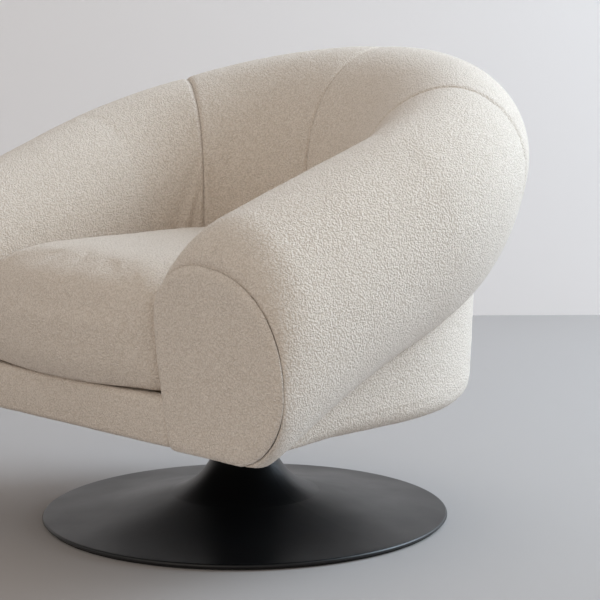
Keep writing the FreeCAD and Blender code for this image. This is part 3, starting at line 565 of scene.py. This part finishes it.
def bare_steel(name):
    """Zinc-plated steel with fine turning lines."""
    nodes = Nodes(name)
    place = nodes.add("ShaderNodeTexCoord")
    lines = nodes.add("ShaderNodeTexWave", wave_type="RINGS", rings_direction="Z")
    lines.inputs["Scale"].default_value = 260
    lines.inputs["Distortion"].default_value = 0.6
    nodes.join(place, "Object", lines, "Vector")
    nodes.emboss(lines, "Fac", 0.12, 0.0001)
    tone = blend_colours(nodes, (0.42, 0.42, 0.41), (0.58, 0.58, 0.56))
    cloud = noise(nodes, place, 60, 4.0)
    nodes.join(cloud, "Fac", tone, "Factor")
    nodes.join(tone, "Result", nodes.shader, "Base Color")
    nodes.set(Metallic=1.0, Roughness=0.38)
    return nodes.material


def wood(name, light, dark, scale):
    """Planed wood: rings stretched along one direction, with fine pores."""
    nodes = Nodes(name)
    place = nodes.add("ShaderNodeTexCoord")
    turn = nodes.add("ShaderNodeMapping")
    turn.inputs["Scale"].default_value = (1.0, 9.0, 9.0)
    nodes.join(place, "Object", turn, "Vector")
    rings = nodes.add("ShaderNodeTexNoise")
    rings.inputs["Scale"].default_value = scale
    rings.inputs["Detail"].default_value = 5.0
    rings.inputs["Distortion"].default_value = 0.8
    nodes.join(turn, "Vector", rings, "Vector")
    tone = blend_colours(nodes, dark, light)
    share = ramp(nodes, rings, "Fac", 0.35, 0.65)
    nodes.join(share, "Result", tone, "Factor")
    nodes.join(tone, "Result", nodes.shader, "Base Color")
    nodes.emboss(rings, "Fac", 0.2, 0.0003)
    nodes.set(Roughness=0.6)
    return nodes.material


def plain_weave(name, light, dark, threads):
    """Flat cloth or felt: crossed waves for the threads and a noise for the fibres."""
    nodes = Nodes(name)
    place = nodes.add("ShaderNodeTexCoord")
    across = nodes.add("ShaderNodeTexWave", bands_direction="X")
    along = nodes.add("ShaderNodeTexWave", bands_direction="Y")
    for wave in (across, along):
        wave.inputs["Scale"].default_value = threads
        nodes.join(place, "Object", wave, "Vector")
    cross = nodes.add("ShaderNodeMath", operation="MULTIPLY")
    nodes.join(across, "Fac", cross, 0)
    nodes.join(along, "Fac", cross, 1)
    fibres = noise(nodes, place, threads * 2.5, 3.0)
    total = nodes.add("ShaderNodeMath", operation="ADD")
    nodes.join(cross, "Value", total, 0)
    nodes.join(fibres, "Fac", total, 1)
    tone = blend_colours(nodes, dark, light)
    share = ramp(nodes, total, "Value", 0.3, 1.4)
    nodes.join(share, "Result", tone, "Factor")
    nodes.join(tone, "Result", nodes.shader, "Base Color")
    nodes.emboss(total, "Value", 0.5, 0.0004)
    nodes.set(Roughness=0.95, Specular_IOR_Level=0.2)
    return nodes.material


def moulded(name, colour):
    """Moulded bearing plastic: slightly mottled and satin."""
    nodes = Nodes(name)
    place = nodes.add("ShaderNodeTexCoord")
    cloud = noise(nodes, place, 180, 3.0)
    tone = blend_colours(nodes, colour, [part * 1.4 for part in colour])
    nodes.join(cloud, "Fac", tone, "Factor")
    nodes.join(tone, "Result", nodes.shader, "Base Color")
    dull = ramp(nodes, cloud, "Fac", 0.3, 0.7, 0.42, 0.52)
    nodes.join(dull, "Result", nodes.shader, "Roughness")
    return nodes.material


def foam_block(name):
    """Cut polyurethane foam: open cells as a fine bump."""
    nodes = Nodes(name)
    place = nodes.add("ShaderNodeTexCoord")
    cells = nodes.add("ShaderNodeTexVoronoi")
    cells.inputs["Scale"].default_value = 700
    nodes.join(place, "Object", cells, "Vector")
    tone = blend_colours(nodes, (0.72, 0.66, 0.42), (0.84, 0.80, 0.58))
    nodes.join(cells, "Distance", tone, "Factor")
    nodes.join(tone, "Result", nodes.shader, "Base Color")
    nodes.emboss(cells, "Distance", 0.5, 0.0006)
    nodes.set(Roughness=0.95)
    return nodes.material


def matt_paint(name, colour):
    """Painted floor or wall with a faint drift of tone, clear when it is seen from its back."""
    nodes = Nodes(name)
    place = nodes.add("ShaderNodeTexCoord")
    cloud = noise(nodes, place, 0.8, 2.0)
    tone = blend_colours(nodes, [part * 0.985 for part in colour], colour)
    nodes.join(cloud, "Fac", tone, "Factor")
    nodes.join(tone, "Result", nodes.shader, "Base Color")
    nodes.set(Roughness=0.9, Specular_IOR_Level=0.15)
    side = nodes.add("ShaderNodeNewGeometry")
    clear = nodes.add("ShaderNodeBsdfTransparent")
    either = nodes.add("ShaderNodeMixShader")
    output = next(node for node in nodes.tree.nodes if node.type == "OUTPUT_MATERIAL")
    nodes.join(side, "Backfacing", either, 0)
    nodes.join(nodes.shader, "BSDF", either, 1)
    nodes.join(clear, "BSDF", either, 2)
    nodes.join(either, "Shader", output, "Surface")
    return nodes.material


def shared_material(name, make, *values):
    return bpy.data.materials.get(name) or make(name, *values)


def dress(piece, material, slot, body, *nodes):
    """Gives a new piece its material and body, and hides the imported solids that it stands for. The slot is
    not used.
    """
    piece.data.materials.clear()
    piece.data.materials.append(material)
    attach(piece, body)
    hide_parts(*nodes)


def mirror_grid(grid):
    return grid * np.array([-1.0, 1.0, 1.0])


# Pieces


def arm_stations(step):
    """Stations of the arm: round its front edge by a quarter turn, along the arm, then round to the seam."""
    edge_count = 12
    turn = np.linspace(0, math.pi / 2, edge_count)
    edge_y = PANEL_SEAM + (FULL_FRONT - PANEL_SEAM) * (1 - np.cos(turn))
    run_y = np.linspace(FULL_FRONT, -BACK_CENTRE, int(0.255 / step) + 1)[1:]
    run_angle = np.linspace(0, SPLIT_ANGLE, int(0.40 * SPLIT_ANGLE / step) + 1)[1:]
    y = np.concatenate([edge_y, run_y, np.full(len(run_angle), -BACK_CENTRE)])
    angle = np.concatenate([np.zeros(len(edge_y) + len(run_y)), run_angle])
    grown = np.concatenate([np.sin(turn), np.ones(len(run_y) + len(run_angle))])
    return y, angle, grown


def back_stations(step):
    """Stations of half the back, from its cross seam to the middle."""
    count = int(0.40 * (math.pi / 2 - SPLIT_ANGLE) / step) + 1
    angle = np.linspace(SPLIT_ANGLE, math.pi / 2, count)
    return np.full(count, -BACK_CENTRE), angle, np.ones(count)


def sewn_length(y, angle, grown, front_groove):
    """Outer and inner grids of one length of the roll.

    The outer grid is the placed sections, moved out along the normal by the stuffing, which fades to
    nothing at the seams, and in by the fold of each seam. The inner grid lies a padding thickness deeper.
    """
    sizes = bpy.context.scene.chair_roll
    step = sizes.grid
    counts = [int(length / step) for length in (0.195, 0.215, 0.200, 0.180)]
    sections = soften(roll_sections(y, angle, grown, counts), 30)
    grid = place_sections(sections, y, angle)
    normal = surface_normals(grid)
    ridge = counts[0] + counts[1]
    if normal[len(grid) // 2, ridge, 2] < 0:
        normal = -normal
    from_front, from_back = ends_distance(grid, 0)
    from_seam, _ = ends_distance(grid, 1)
    near = np.minimum(np.minimum(from_back, from_seam), from_front)
    full = sizes.stuffing * (1 - np.exp(-near / 0.035))
    depth = np.maximum(fold(from_back, sizes.groove), fold(from_seam, sizes.groove))
    front_radius = sizes.groove if front_groove else 0.6 * sizes.groove
    depth = np.maximum(depth, fold(from_front, front_radius))
    outer = grid + normal * (full - depth)[..., None]
    inner = grid - normal * sizes.padding
    outer[..., 2] = np.maximum(outer[..., 2], UNDERSIDE + 0.0004)
    inner[..., 2] = np.maximum(inner[..., 2], UNDERSIDE + 0.0008)
    return outer, inner


def held_rim(rows, columns, fade=2):
    """Weights that hold a slab's inner grid and its rim: 1 on them, and free inside."""
    row = np.minimum(np.arange(rows), np.arange(rows)[::-1])[:, None]
    column = np.minimum(np.arange(columns), np.arange(columns)[::-1])[None, :]
    edge = np.minimum(row, column)
    outer = np.clip(1 - edge / fade, 0, 1)
    return np.concatenate([outer.ravel(), np.ones(rows * columns)])


class SewRoll(bpy.types.Operator):
    """Sews the four lengths of the padded roll"""

    bl_idname = "tub_chair.sew_roll"
    bl_label = "Sew the roll"

    def execute(self, context):
        step = context.scene.chair_roll.grid
        cloth = shared_material("looped_cloth", looped_cloth)
        plans = (("arm", arm_stations(step), False), ("back", back_stations(step), True))
        for length, stations, front_groove in plans:
            outer, inner = sewn_length(*stations, front_groove)
            held = held_rim(*outer.shape[:2])
            right = slab("%s_roll_cover_right" % length, outer, inner)
            puff(right, held, 3.0, 0.006)
            shape = mirror_grid(read_points(right.data))
            left = closed_mesh("%s_roll_cover_left" % length, shape, slab_faces(*outer.shape[:2]))
            for number, (side, piece) in enumerate((("right", right), ("left", left))):
                refine(piece)
                add_pile(piece, 11 + number * 5 + len(length))
                dress(piece, cloth, "roll_fabric", "tub", "%s_roll_%s" % (length, side))
        return {"FINISHED"}


def panel_outline(count):
    """Outline of the arm's flat front as (reach, height), from the seam over the top to the foot and back."""
    y, angle, grown = np.array([PANEL_BACK]), np.zeros(1), np.zeros(1)
    section = soften(roll_sections(y, angle, grown, [60, 60, 60, 60]), 60)[0]
    share = np.linspace(0, 1, 40)[1:-1, None]
    bottom = section[-1] + (section[0] - section[-1]) * share
    loop = np.concatenate([section, bottom])
    return even_loop(loop, count)


def even_loop(loop, count):
    """Closed outline resampled to evenly spaced points, its corners rounded by averaging neighbours."""
    for _ in range(6):
        loop = (np.roll(loop, 1, axis=0) + 2 * loop + np.roll(loop, -1, axis=0)) / 4
    closed = np.concatenate([loop, loop[:1]])
    walked = np.concatenate([[0], np.cumsum(np.linalg.norm(np.diff(closed, axis=0), axis=1))])
    even = np.linspace(0, walked[-1], count, endpoint=False)
    return np.stack([np.interp(even, walked, closed[:, axis]) for axis in range(loop.shape[1])], axis=1)


def rings_mesh(name, rings):
    """Closed mesh from rings of points, one inside the next, closed by a point at each end."""
    levels, count = rings.shape[:2]
    first, last = rings[0].mean(axis=0), rings[-1].mean(axis=0)
    index = np.arange(levels * count).reshape(levels, count)
    follow = np.roll(index, -1, axis=1)
    quads = np.stack([index[:-1], index[1:], follow[1:], follow[:-1]], axis=2).reshape(-1, 4)
    low_pole, high_pole = levels * count, levels * count + 1
    points = np.concatenate([rings.reshape(-1, 3), first[None], last[None]])
    start = np.stack([index[0], follow[0], np.full(count, low_pole), index[0]], axis=1)
    end = np.stack([follow[-1], index[-1], np.full(count, high_pole), follow[-1]], axis=1)
    faces = quads.tolist() + start[:, :3].tolist() + end[:, :3].tolist()
    corner = points[quads]
    centre = points.mean(axis=0)
    volume = np.einsum("ij,ij->i", corner[:, 0] - centre,
                       np.cross(corner[:, 1] - corner[:, 0], corner[:, 2] - corner[:, 0])).sum()
    if volume < 0:
        faces = [face[::-1] for face in faces]
    return linked_piece(name, points.tolist(), faces)


class SewArmFronts(bpy.types.Operator):
    """Sews the flat padded fronts of the arms"""

    bl_idname = "tub_chair.sew_arm_fronts"
    bl_label = "Sew the arm fronts"

    def execute(self, context):
        cloth = shared_material("looped_cloth", looped_cloth)
        outline = panel_outline(150)
        middle = np.array([(outline[:, 0].max() + outline[:, 0].min()) / 2, PANEL_MIDDLE_HEIGHT])
        inward = np.linspace(0, 1, 20)[1:]
        radius = np.linalg.norm(outline - middle, axis=1).mean()
        deep = PANEL_FRONT - 0.0005 - PANEL_SEAM
        share = np.concatenate([[-0.008], [-0.008], 0.004 + 0.996 * inward ** 1.5])
        from_rim = np.clip(share * radius / PANEL_ROUNDING, 0, 1)
        y = PANEL_SEAM + deep * np.sqrt(np.clip(1 - (1 - from_rim) ** 2, 0, 1))
        y[0] = PANEL_SEAM + 0.001
        y[1] = PANEL_SEAM + deep * 0.15
        y -= PANEL_CROWN * share
        back = np.array([0.8, 0.4])
        share = np.concatenate([back, share])
        y = np.concatenate([np.full(2, PANEL_BACK), y])
        for number, (side, sign) in enumerate((("right", 1), ("left", -1))):
            flat = outline[None] + (middle - outline)[None] * (share[:, None, None] * 0.97)
            along = np.broadcast_to(y[:, None], flat.shape[:2])
            rings = np.stack([sign * flat[..., 0], along, flat[..., 1]], axis=2)
            piece = rings_mesh("arm_front_cover_%s" % side, rings)
            refine(piece)
            add_pile(piece, 41 + number)
            dress(piece, cloth, "panel_fabric", "tub", "arm_front_panel_%s" % side)
            low, high = np.array([0.233, PANEL_BACK + 0.001]), np.array([0.352, BOARD_FRONT - 0.001])
            base = underside_strip("arm_underside_%s" % side, sign, low, high)
            base.data.materials.append(cloth)
            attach(base, "tub")
        return {"FINISHED"}


def underside_strip(name, sign, low, high):
    """Thin flat strip of cloth turned under the arm's front edge."""
    across = np.linspace(low[0], high[0], 24) * sign
    along = np.linspace(low[1], high[1], 9)
    x, y = np.meshgrid(across, along, indexing="ij")
    below = np.stack([x, y, np.full_like(x, UNDERSIDE)], axis=2)
    above = below + np.array([0, 0, 0.0014])
    return slab(name, below, above)


def cover_profile(seam_height, count):
    """Sections of the lower cover as (reach, height): in at the bottom, round the lower edge, up the wall
    and over at the seam. The lower radius is COVER_EDGE, or less where the cover is low."""
    height = seam_height - UNDERSIDE
    radius = np.minimum(COVER_EDGE, height * 0.45)[:, None]
    tuck = np.minimum(COVER_TUCK, height * 0.2)[:, None]
    turn = np.linspace(0, math.pi / 2, count[1])[None]
    low_reach = COVER_REACH
    slope = (COVER_TOP_REACH - low_reach) / (COVER_TOP_HEIGHT - UNDERSIDE)
    start = np.linspace(0, 1, count[0], endpoint=False)[None]
    flat_reach = WALL_OUTSIDE + 0.002 + (low_reach - radius - WALL_OUTSIDE - 0.002) * start
    flat = np.stack([flat_reach, np.full_like(flat_reach, UNDERSIDE)], axis=2)
    curve = np.stack([low_reach - radius + radius * np.sin(turn),
                      UNDERSIDE + radius * (1 - np.cos(turn))], axis=2)
    rise = np.linspace(0, 1, count[2])[1:][None]
    up_height = UNDERSIDE + radius + (height[:, None] - radius - tuck) * rise
    up = np.stack([low_reach + slope * (up_height - UNDERSIDE), up_height], axis=2)
    over = np.linspace(0, math.pi / 2, 5)[1:][None]
    edge = low_reach + slope * (height[:, None] - tuck)
    top = np.stack([edge - tuck * (1 - np.cos(over)),
                    UNDERSIDE + height[:, None] - tuck + tuck * np.sin(over)], axis=2)
    return np.concatenate([flat, curve, up, top], axis=1)


class SewLowerCovers(bpy.types.Operator):
    """Sews the cover of the lower tub and of the front rail"""

    bl_idname = "tub_chair.sew_lower_covers"
    bl_label = "Sew the lower covers"

    def execute(self, context):
        step = context.scene.chair_roll.grid
        cloth = shared_material("looped_cloth", looped_cloth)
        run = np.linspace(FULL_FRONT + 0.004, -BACK_CENTRE, int(0.255 / step) + 1)[:-1]
        half = np.linspace(0, math.pi / 2, int(0.36 * math.pi / 2 / step) + 1)
        angle = np.concatenate([np.zeros(len(run)), half])
        y = np.concatenate([run, np.full(len(half), -BACK_CENTRE)])
        reach, front, back, arch = ROLL_LINES["seam"]
        along = np.where(angle > 0, reach * np.sin(angle) - BACK_CENTRE, y)
        t = (along - FULL_FRONT) / (reach - BACK_CENTRE - FULL_FRONT)
        seam_height = front + (back - front) * t + arch * 4 * t * (1 - t) - 0.0008
        sections = cover_profile(seam_height, (5, 9, 30))
        outer = place_sections(sections, y, angle)
        inner_sections = sections.copy()
        inner_sections[..., 0] = WALL_OUTSIDE
        inner = place_sections(inner_sections, y, angle)
        outer = np.concatenate([outer, mirror_grid(outer[-2::-1])])
        inner = np.concatenate([inner, mirror_grid(inner[-2::-1])])
        piece = slab("tub_cover_cloth", outer, inner)
        refine(piece)
        add_pile(piece, 61)
        dress(piece, cloth, "tub_fabric", "tub", "tub_cover")
        self.rail_cover(cloth)
        return {"FINISHED"}

    def rail_cover(self, cloth):
        """Padded strip: a rounded front profile carried across, turned in at both ends and a little fuller
        in the middle."""
        half, depth = RAIL_COVER_HALF, RAIL_COVER_DEPTH
        across = np.linspace(-half, half, 78)
        end = fold(half - np.abs(across), 0.004)
        radius = RAIL_COVER_EDGE
        low, high = UNDERSIDE + 0.0003, DECK_TOP - 0.0004
        turn = np.linspace(0, math.pi / 2, 6)
        start = np.linspace(0, 1, 3, endpoint=False)
        y_back, y_front = RAIL_FACE - 0.0006, RAIL_FACE - depth
        side = y_back + (y_front + radius - y_back) * start
        profile_y = np.concatenate([side, y_front + radius - radius * np.sin(turn)])
        profile_z = np.concatenate([np.zeros(3), radius * (1 - np.cos(turn))])
        rise = np.linspace(radius, (high - low) / 2, 6)[1:]
        profile_y = np.concatenate([profile_y, np.full(5, y_front)])
        profile_z = np.concatenate([profile_z, rise])
        z = np.concatenate([low + profile_z, high - profile_z[-2::-1]])
        y = np.concatenate([profile_y, profile_y[-2::-1]])
        bulge = RAIL_COVER_BULGE * np.sin(math.pi * (z - low) / (high - low))
        grid = np.empty((len(across), len(z), 3))
        grid[..., 0] = across[:, None]
        depth_share = (y_back - y) / (y_back - y_front)
        grid[..., 1] = y[None] + end[:, None] * depth_share[None] - bulge[None] * depth_share[None]
        middle = (low + high) / 2
        grid[..., 2] = middle + (z[None] - middle) * (1 - end[:, None] / 0.03)
        inner = grid.copy()
        inner[..., 1] = y_back + 0.0003
        piece = slab("rail_cover_cloth", grid, inner)
        refine(piece)
        add_pile(piece, 67)
        dress(piece, cloth, "tub_fabric", "tub", "front_rail_cover")


def seat_plan(half, front, belly, back, count):
    """Plan outline between the arms, from circle arcs: bulging front, straight sides and a round back."""
    side = -BACK_CENTRE
    corner = half * CUSHION_CORNER_SHARE
    near = corner * (1 - math.sqrt(0.5))
    shoulder = (half * 0.63, side + (back - side) * 0.83)
    end = (half * 0.34, back - half * 0.03)

    def arc(first, middle, last, points):
        rows = [np.array([spot]) for spot in (first, middle, last)]
        return arc_through(*rows, points)[0]

    def straight(first, last, points):
        share = np.linspace(0, 1, points, endpoint=False)[:, None]
        return np.array(first) + (np.array(last) - np.array(first)) * share

    loop = np.concatenate([
        arc((-half + corner, front), (0, front - belly), (half - corner, front), 60),
        arc((half - corner, front), (half - near, front + near), (half, front + corner), 14),
        straight((half, front + corner), (half, side), 50),
        arc((half, side), shoulder, end, 40),
        arc(end, (0, back), (-end[0], end[1]), 30),
        arc((-end[0], end[1]), (-shoulder[0], shoulder[1]), (-half, side), 40),
        straight((-half, side), (-half, front + corner), 50),
        arc((-half, front + corner), (-half + near, front + near), (-half + corner, front), 14),
    ])
    return even_loop(loop, count)


class StuffCushion(bpy.types.Operator):
    """Stuffs the seat cushion"""

    bl_idname = "tub_chair.stuff_cushion"
    bl_label = "Stuff the cushion"

    def execute(self, context):
        sizes = context.scene.chair_cushion
        cloth = shared_material("looped_cloth", looped_cloth)
        low, high = sizes.bottom, sizes.top
        middle = low + (high - low) * CUSHION_MIDDLE_SHARE
        power = 2 / CUSHION_SQUARENESS
        degrees = np.concatenate([[-70, -58], np.linspace(-50, 86, 30)])
        rings = []
        for turn in np.radians(degrees):
            rise = abs(math.sin(turn)) ** power
            height = middle + (high - middle) * rise if turn > 0 else middle - (middle - low) * rise
            height = max(height, low)
            share = (height - low) / (high - low)
            half = sizes.low_half + (sizes.high_half - sizes.low_half) * share
            inset = half * (1 - math.cos(turn) ** power)
            inset = inset * CUSHION_FOOT_DRAW if turn < 0 else inset
            plan = seat_plan(half - inset, -sizes.front + inset, sizes.belly * (half - inset) / half,
                             sizes.back - inset, 260)
            past_rail = np.clip(RAIL_FACE - 0.015 - plan[:, 1], 0, 0.012)
            sag = 0.33 * past_rail * max(0.0, 1 - (height - low) / 0.05)
            rings.append(np.column_stack([plan, height - sag]))
        rings = np.array(rings)
        piece = rings_mesh("seat_cushion_cover", rings)
        remesh = piece.modifiers.new("remesh", "REMESH")
        remesh.mode = "VOXEL"
        remesh.voxel_size = CUSHION_VOXEL
        bake_modifiers(piece)
        height = read_points(piece.data)[:, 2]
        held = np.clip(np.round((low + 0.014 - height) / 0.004), 0, 2) / 2
        puff(piece, held, 4.0, 0.0045, looseness=0.008)
        piece.data.polygons.foreach_set("use_smooth", np.ones(len(piece.data.polygons), bool))
        refine(piece)
        add_pile(piece, 71)
        dress(piece, cloth, "cushion_fabric", "tub", "seat_cushion")
        return {"FINISHED"}


class FinishFrame(bpy.types.Operator):
    """Gives the foot, the swivel and the frame inside their materials"""

    bl_idname = "tub_chair.finish_frame"
    bl_label = "Finish foot and frame"

    def execute(self, context):
        black = shared_material("satin_black", coated_metal, (0.003, 0.003, 0.0035), 0.36)
        plate = shared_material("plate_black", coated_metal, (0.018, 0.018, 0.018), 0.5)
        steel = shared_material("zinc_steel", bare_steel)
        felt = shared_material("floor_felt", plain_weave, (0.05, 0.05, 0.05), (0.02, 0.02, 0.02), 900)
        dust = shared_material("dust_cloth", plain_weave, (0.035, 0.035, 0.035), (0.012, 0.012, 0.012), 600)
        web = shared_material("strap_web", plain_weave, (0.32, 0.26, 0.2), (0.18, 0.14, 0.1), 420)
        birch = shared_material("birch_ply", wood, (0.70, 0.54, 0.35), (0.55, 0.40, 0.24), 14)
        pine = shared_material("pine", wood, (0.72, 0.57, 0.37), (0.58, 0.42, 0.24), 9)
        acetal = shared_material("black_acetal", moulded, (0.03, 0.03, 0.03))
        foam = shared_material("deck_foam_block", foam_block)
        finishes = {
            black: ("trumpet_shell",),
            plate: ("ballast_disc", "swivel_plate"),
            steel: ("column", "foot_bolts", "spindle", "retaining_washer", "retaining_bolt",
                    "plate_bolts", "board_nuts"),
            felt: ("floor_pad",),
            dust: ("dust_cover",),
            web: ("seat_straps",),
            birch: ("seat_board", "wall_right", "wall_left"),
            pine: ("front_post_right", "front_post_left", "back_post", "front_rail", "spring_frame"),
            acetal: ("neck_sleeve", "upper_bush", "lower_bush"),
            foam: ("deck_foam",),
        }
        for material, names in finishes.items():
            for name in names:
                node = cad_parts[name]
                node.data.materials.clear()
                node.data.materials.append(material)
        return {"FINISHED"}


class SetStage(bpy.types.Operator):
    """Sets the floor, the wall, the lamps and the camera"""

    bl_idname = "tub_chair.set_stage"
    bl_label = "Set the stage"

    def execute(self, context):
        look = context.scene.chair_stage
        view = math.radians(45.869)
        away = np.array([-math.sin(view), math.cos(view)])
        aside = np.array([math.cos(view), math.sin(view)])
        corner = away * 1.92

        def sheet(name, points, material):
            mesh = bpy.data.meshes.new(name)
            mesh.from_pydata([tuple(map(float, point)) for point in points], [], [(0, 1, 2, 3)])
            piece = bpy.data.objects.new(name, mesh)
            context.scene.collection.objects.link(piece)
            piece.data.materials.append(material)

        left, right = corner - aside * 6, corner + aside * 6
        near_left, near_right = left - away * 9, right - away * 9
        floor = matt_paint("floor_paint", tuple(look.floor))
        wall = matt_paint("wall_paint", tuple(look.wall))
        sheet("floor", [(*near_left, 0), (*near_right, 0), (*right, 0), (*left, 0)], floor)
        sheet("wall", [(*left, 0), (*right, 0), (*right, 5), (*left, 5)], wall)
        self.lamps(context, look, away, aside)
        camera = bpy.data.objects.new("camera", bpy.data.cameras.new("camera"))
        context.scene.collection.objects.link(camera)
        camera.data.sensor_width = 36
        camera.data.lens = 117.25
        camera.location = (2.0938, -1.9130, 0.7400)
        camera.rotation_euler = (math.radians(90 - 8.373), math.radians(0.2615), view)
        context.scene.camera = camera
        context.scene.view_settings.view_transform = "Standard"
        return {"FINISHED"}

    def lamps(self, context, look, away, aside):
        """One large soft lamp on the right, a weak one in front, and the even light of the room."""

        def lamp(name, place, size, power, colour, target=(0, 0, 0.4)):
            light = bpy.data.lights.new(name, "AREA")
            light.shape = "RECTANGLE"
            light.size, light.size_y = size
            light.energy = power
            light.color = colour
            piece = bpy.data.objects.new(name, light)
            context.scene.collection.objects.link(piece)
            piece.location = place
            direction = Vector(target) - Vector(place)
            piece.rotation_euler = direction.to_track_quat("-Z", "Y").to_euler()

        side = aside * 3.3 + away * 0.95
        front = -away * 2.5 - aside * 1.6
        lamp("key", (*side, 2.4), (3.0, 2.6), look.key, (0.70, 0.855, 1.0))
        lamp("fill", (*front, 1.5), (2.4, 2.4), look.fill, (1.0, 0.88, 0.77))
        world = context.scene.world or bpy.data.worlds.new("room")
        context.scene.world = world
        world.use_nodes = True
        ground = next(node for node in world.node_tree.nodes if node.type == "BACKGROUND")
        ground.inputs["Color"].default_value = (1, 0.965, 0.925, 1)
        ground.inputs["Strength"].default_value = look.sky


STEPS = (SewRoll, SewArmFronts, SewLowerCovers, StuffCushion, FinishFrame, SetStage)
GROUPS = {
    "chair_roll": RollSizes,
    "chair_cushion": CushionSizes,
    "chair_cloth": ClothLook,
    "chair_stage": StageLook,
}


class TubChairPanel(bpy.types.Panel):
    """Lists the steps that make the chair"""

    bl_idname = "VIEW3D_PT_tub_chair"
    bl_label = "Tub chair"
    bl_space_type = "VIEW_3D"
    bl_region_type = "UI"
    bl_category = "Tub chair"

    def draw(self, context):
        for step in STEPS:
            self.layout.operator(step.bl_idname)
        for name, group in GROUPS.items():
            box = self.layout.box()
            for value in group.__annotations__:
                box.prop(getattr(context.scene, name), value)


def register():
    for group in GROUPS.values():
        bpy.utils.register_class(group)
    for name, group in GROUPS.items():
        setattr(bpy.types.Scene, name, bpy.props.PointerProperty(type=group))
    for item in STEPS + (TubChairPanel,):
        bpy.utils.register_class(item)


def unregister():
    for item in reversed(STEPS + (TubChairPanel,)):
        bpy.utils.unregister_class(item)
    for name, group in GROUPS.items():
        delattr(bpy.types.Scene, name)
        bpy.utils.unregister_class(group)


def main():
    register()
    bpy.ops.tub_chair.sew_roll()
    bpy.ops.tub_chair.sew_arm_fronts()
    bpy.ops.tub_chair.sew_lower_covers()
    bpy.ops.tub_chair.stuff_cushion()
    bpy.ops.tub_chair.finish_frame()
    bpy.ops.tub_chair.set_stage()


if __name__ == "__main__":
    main()
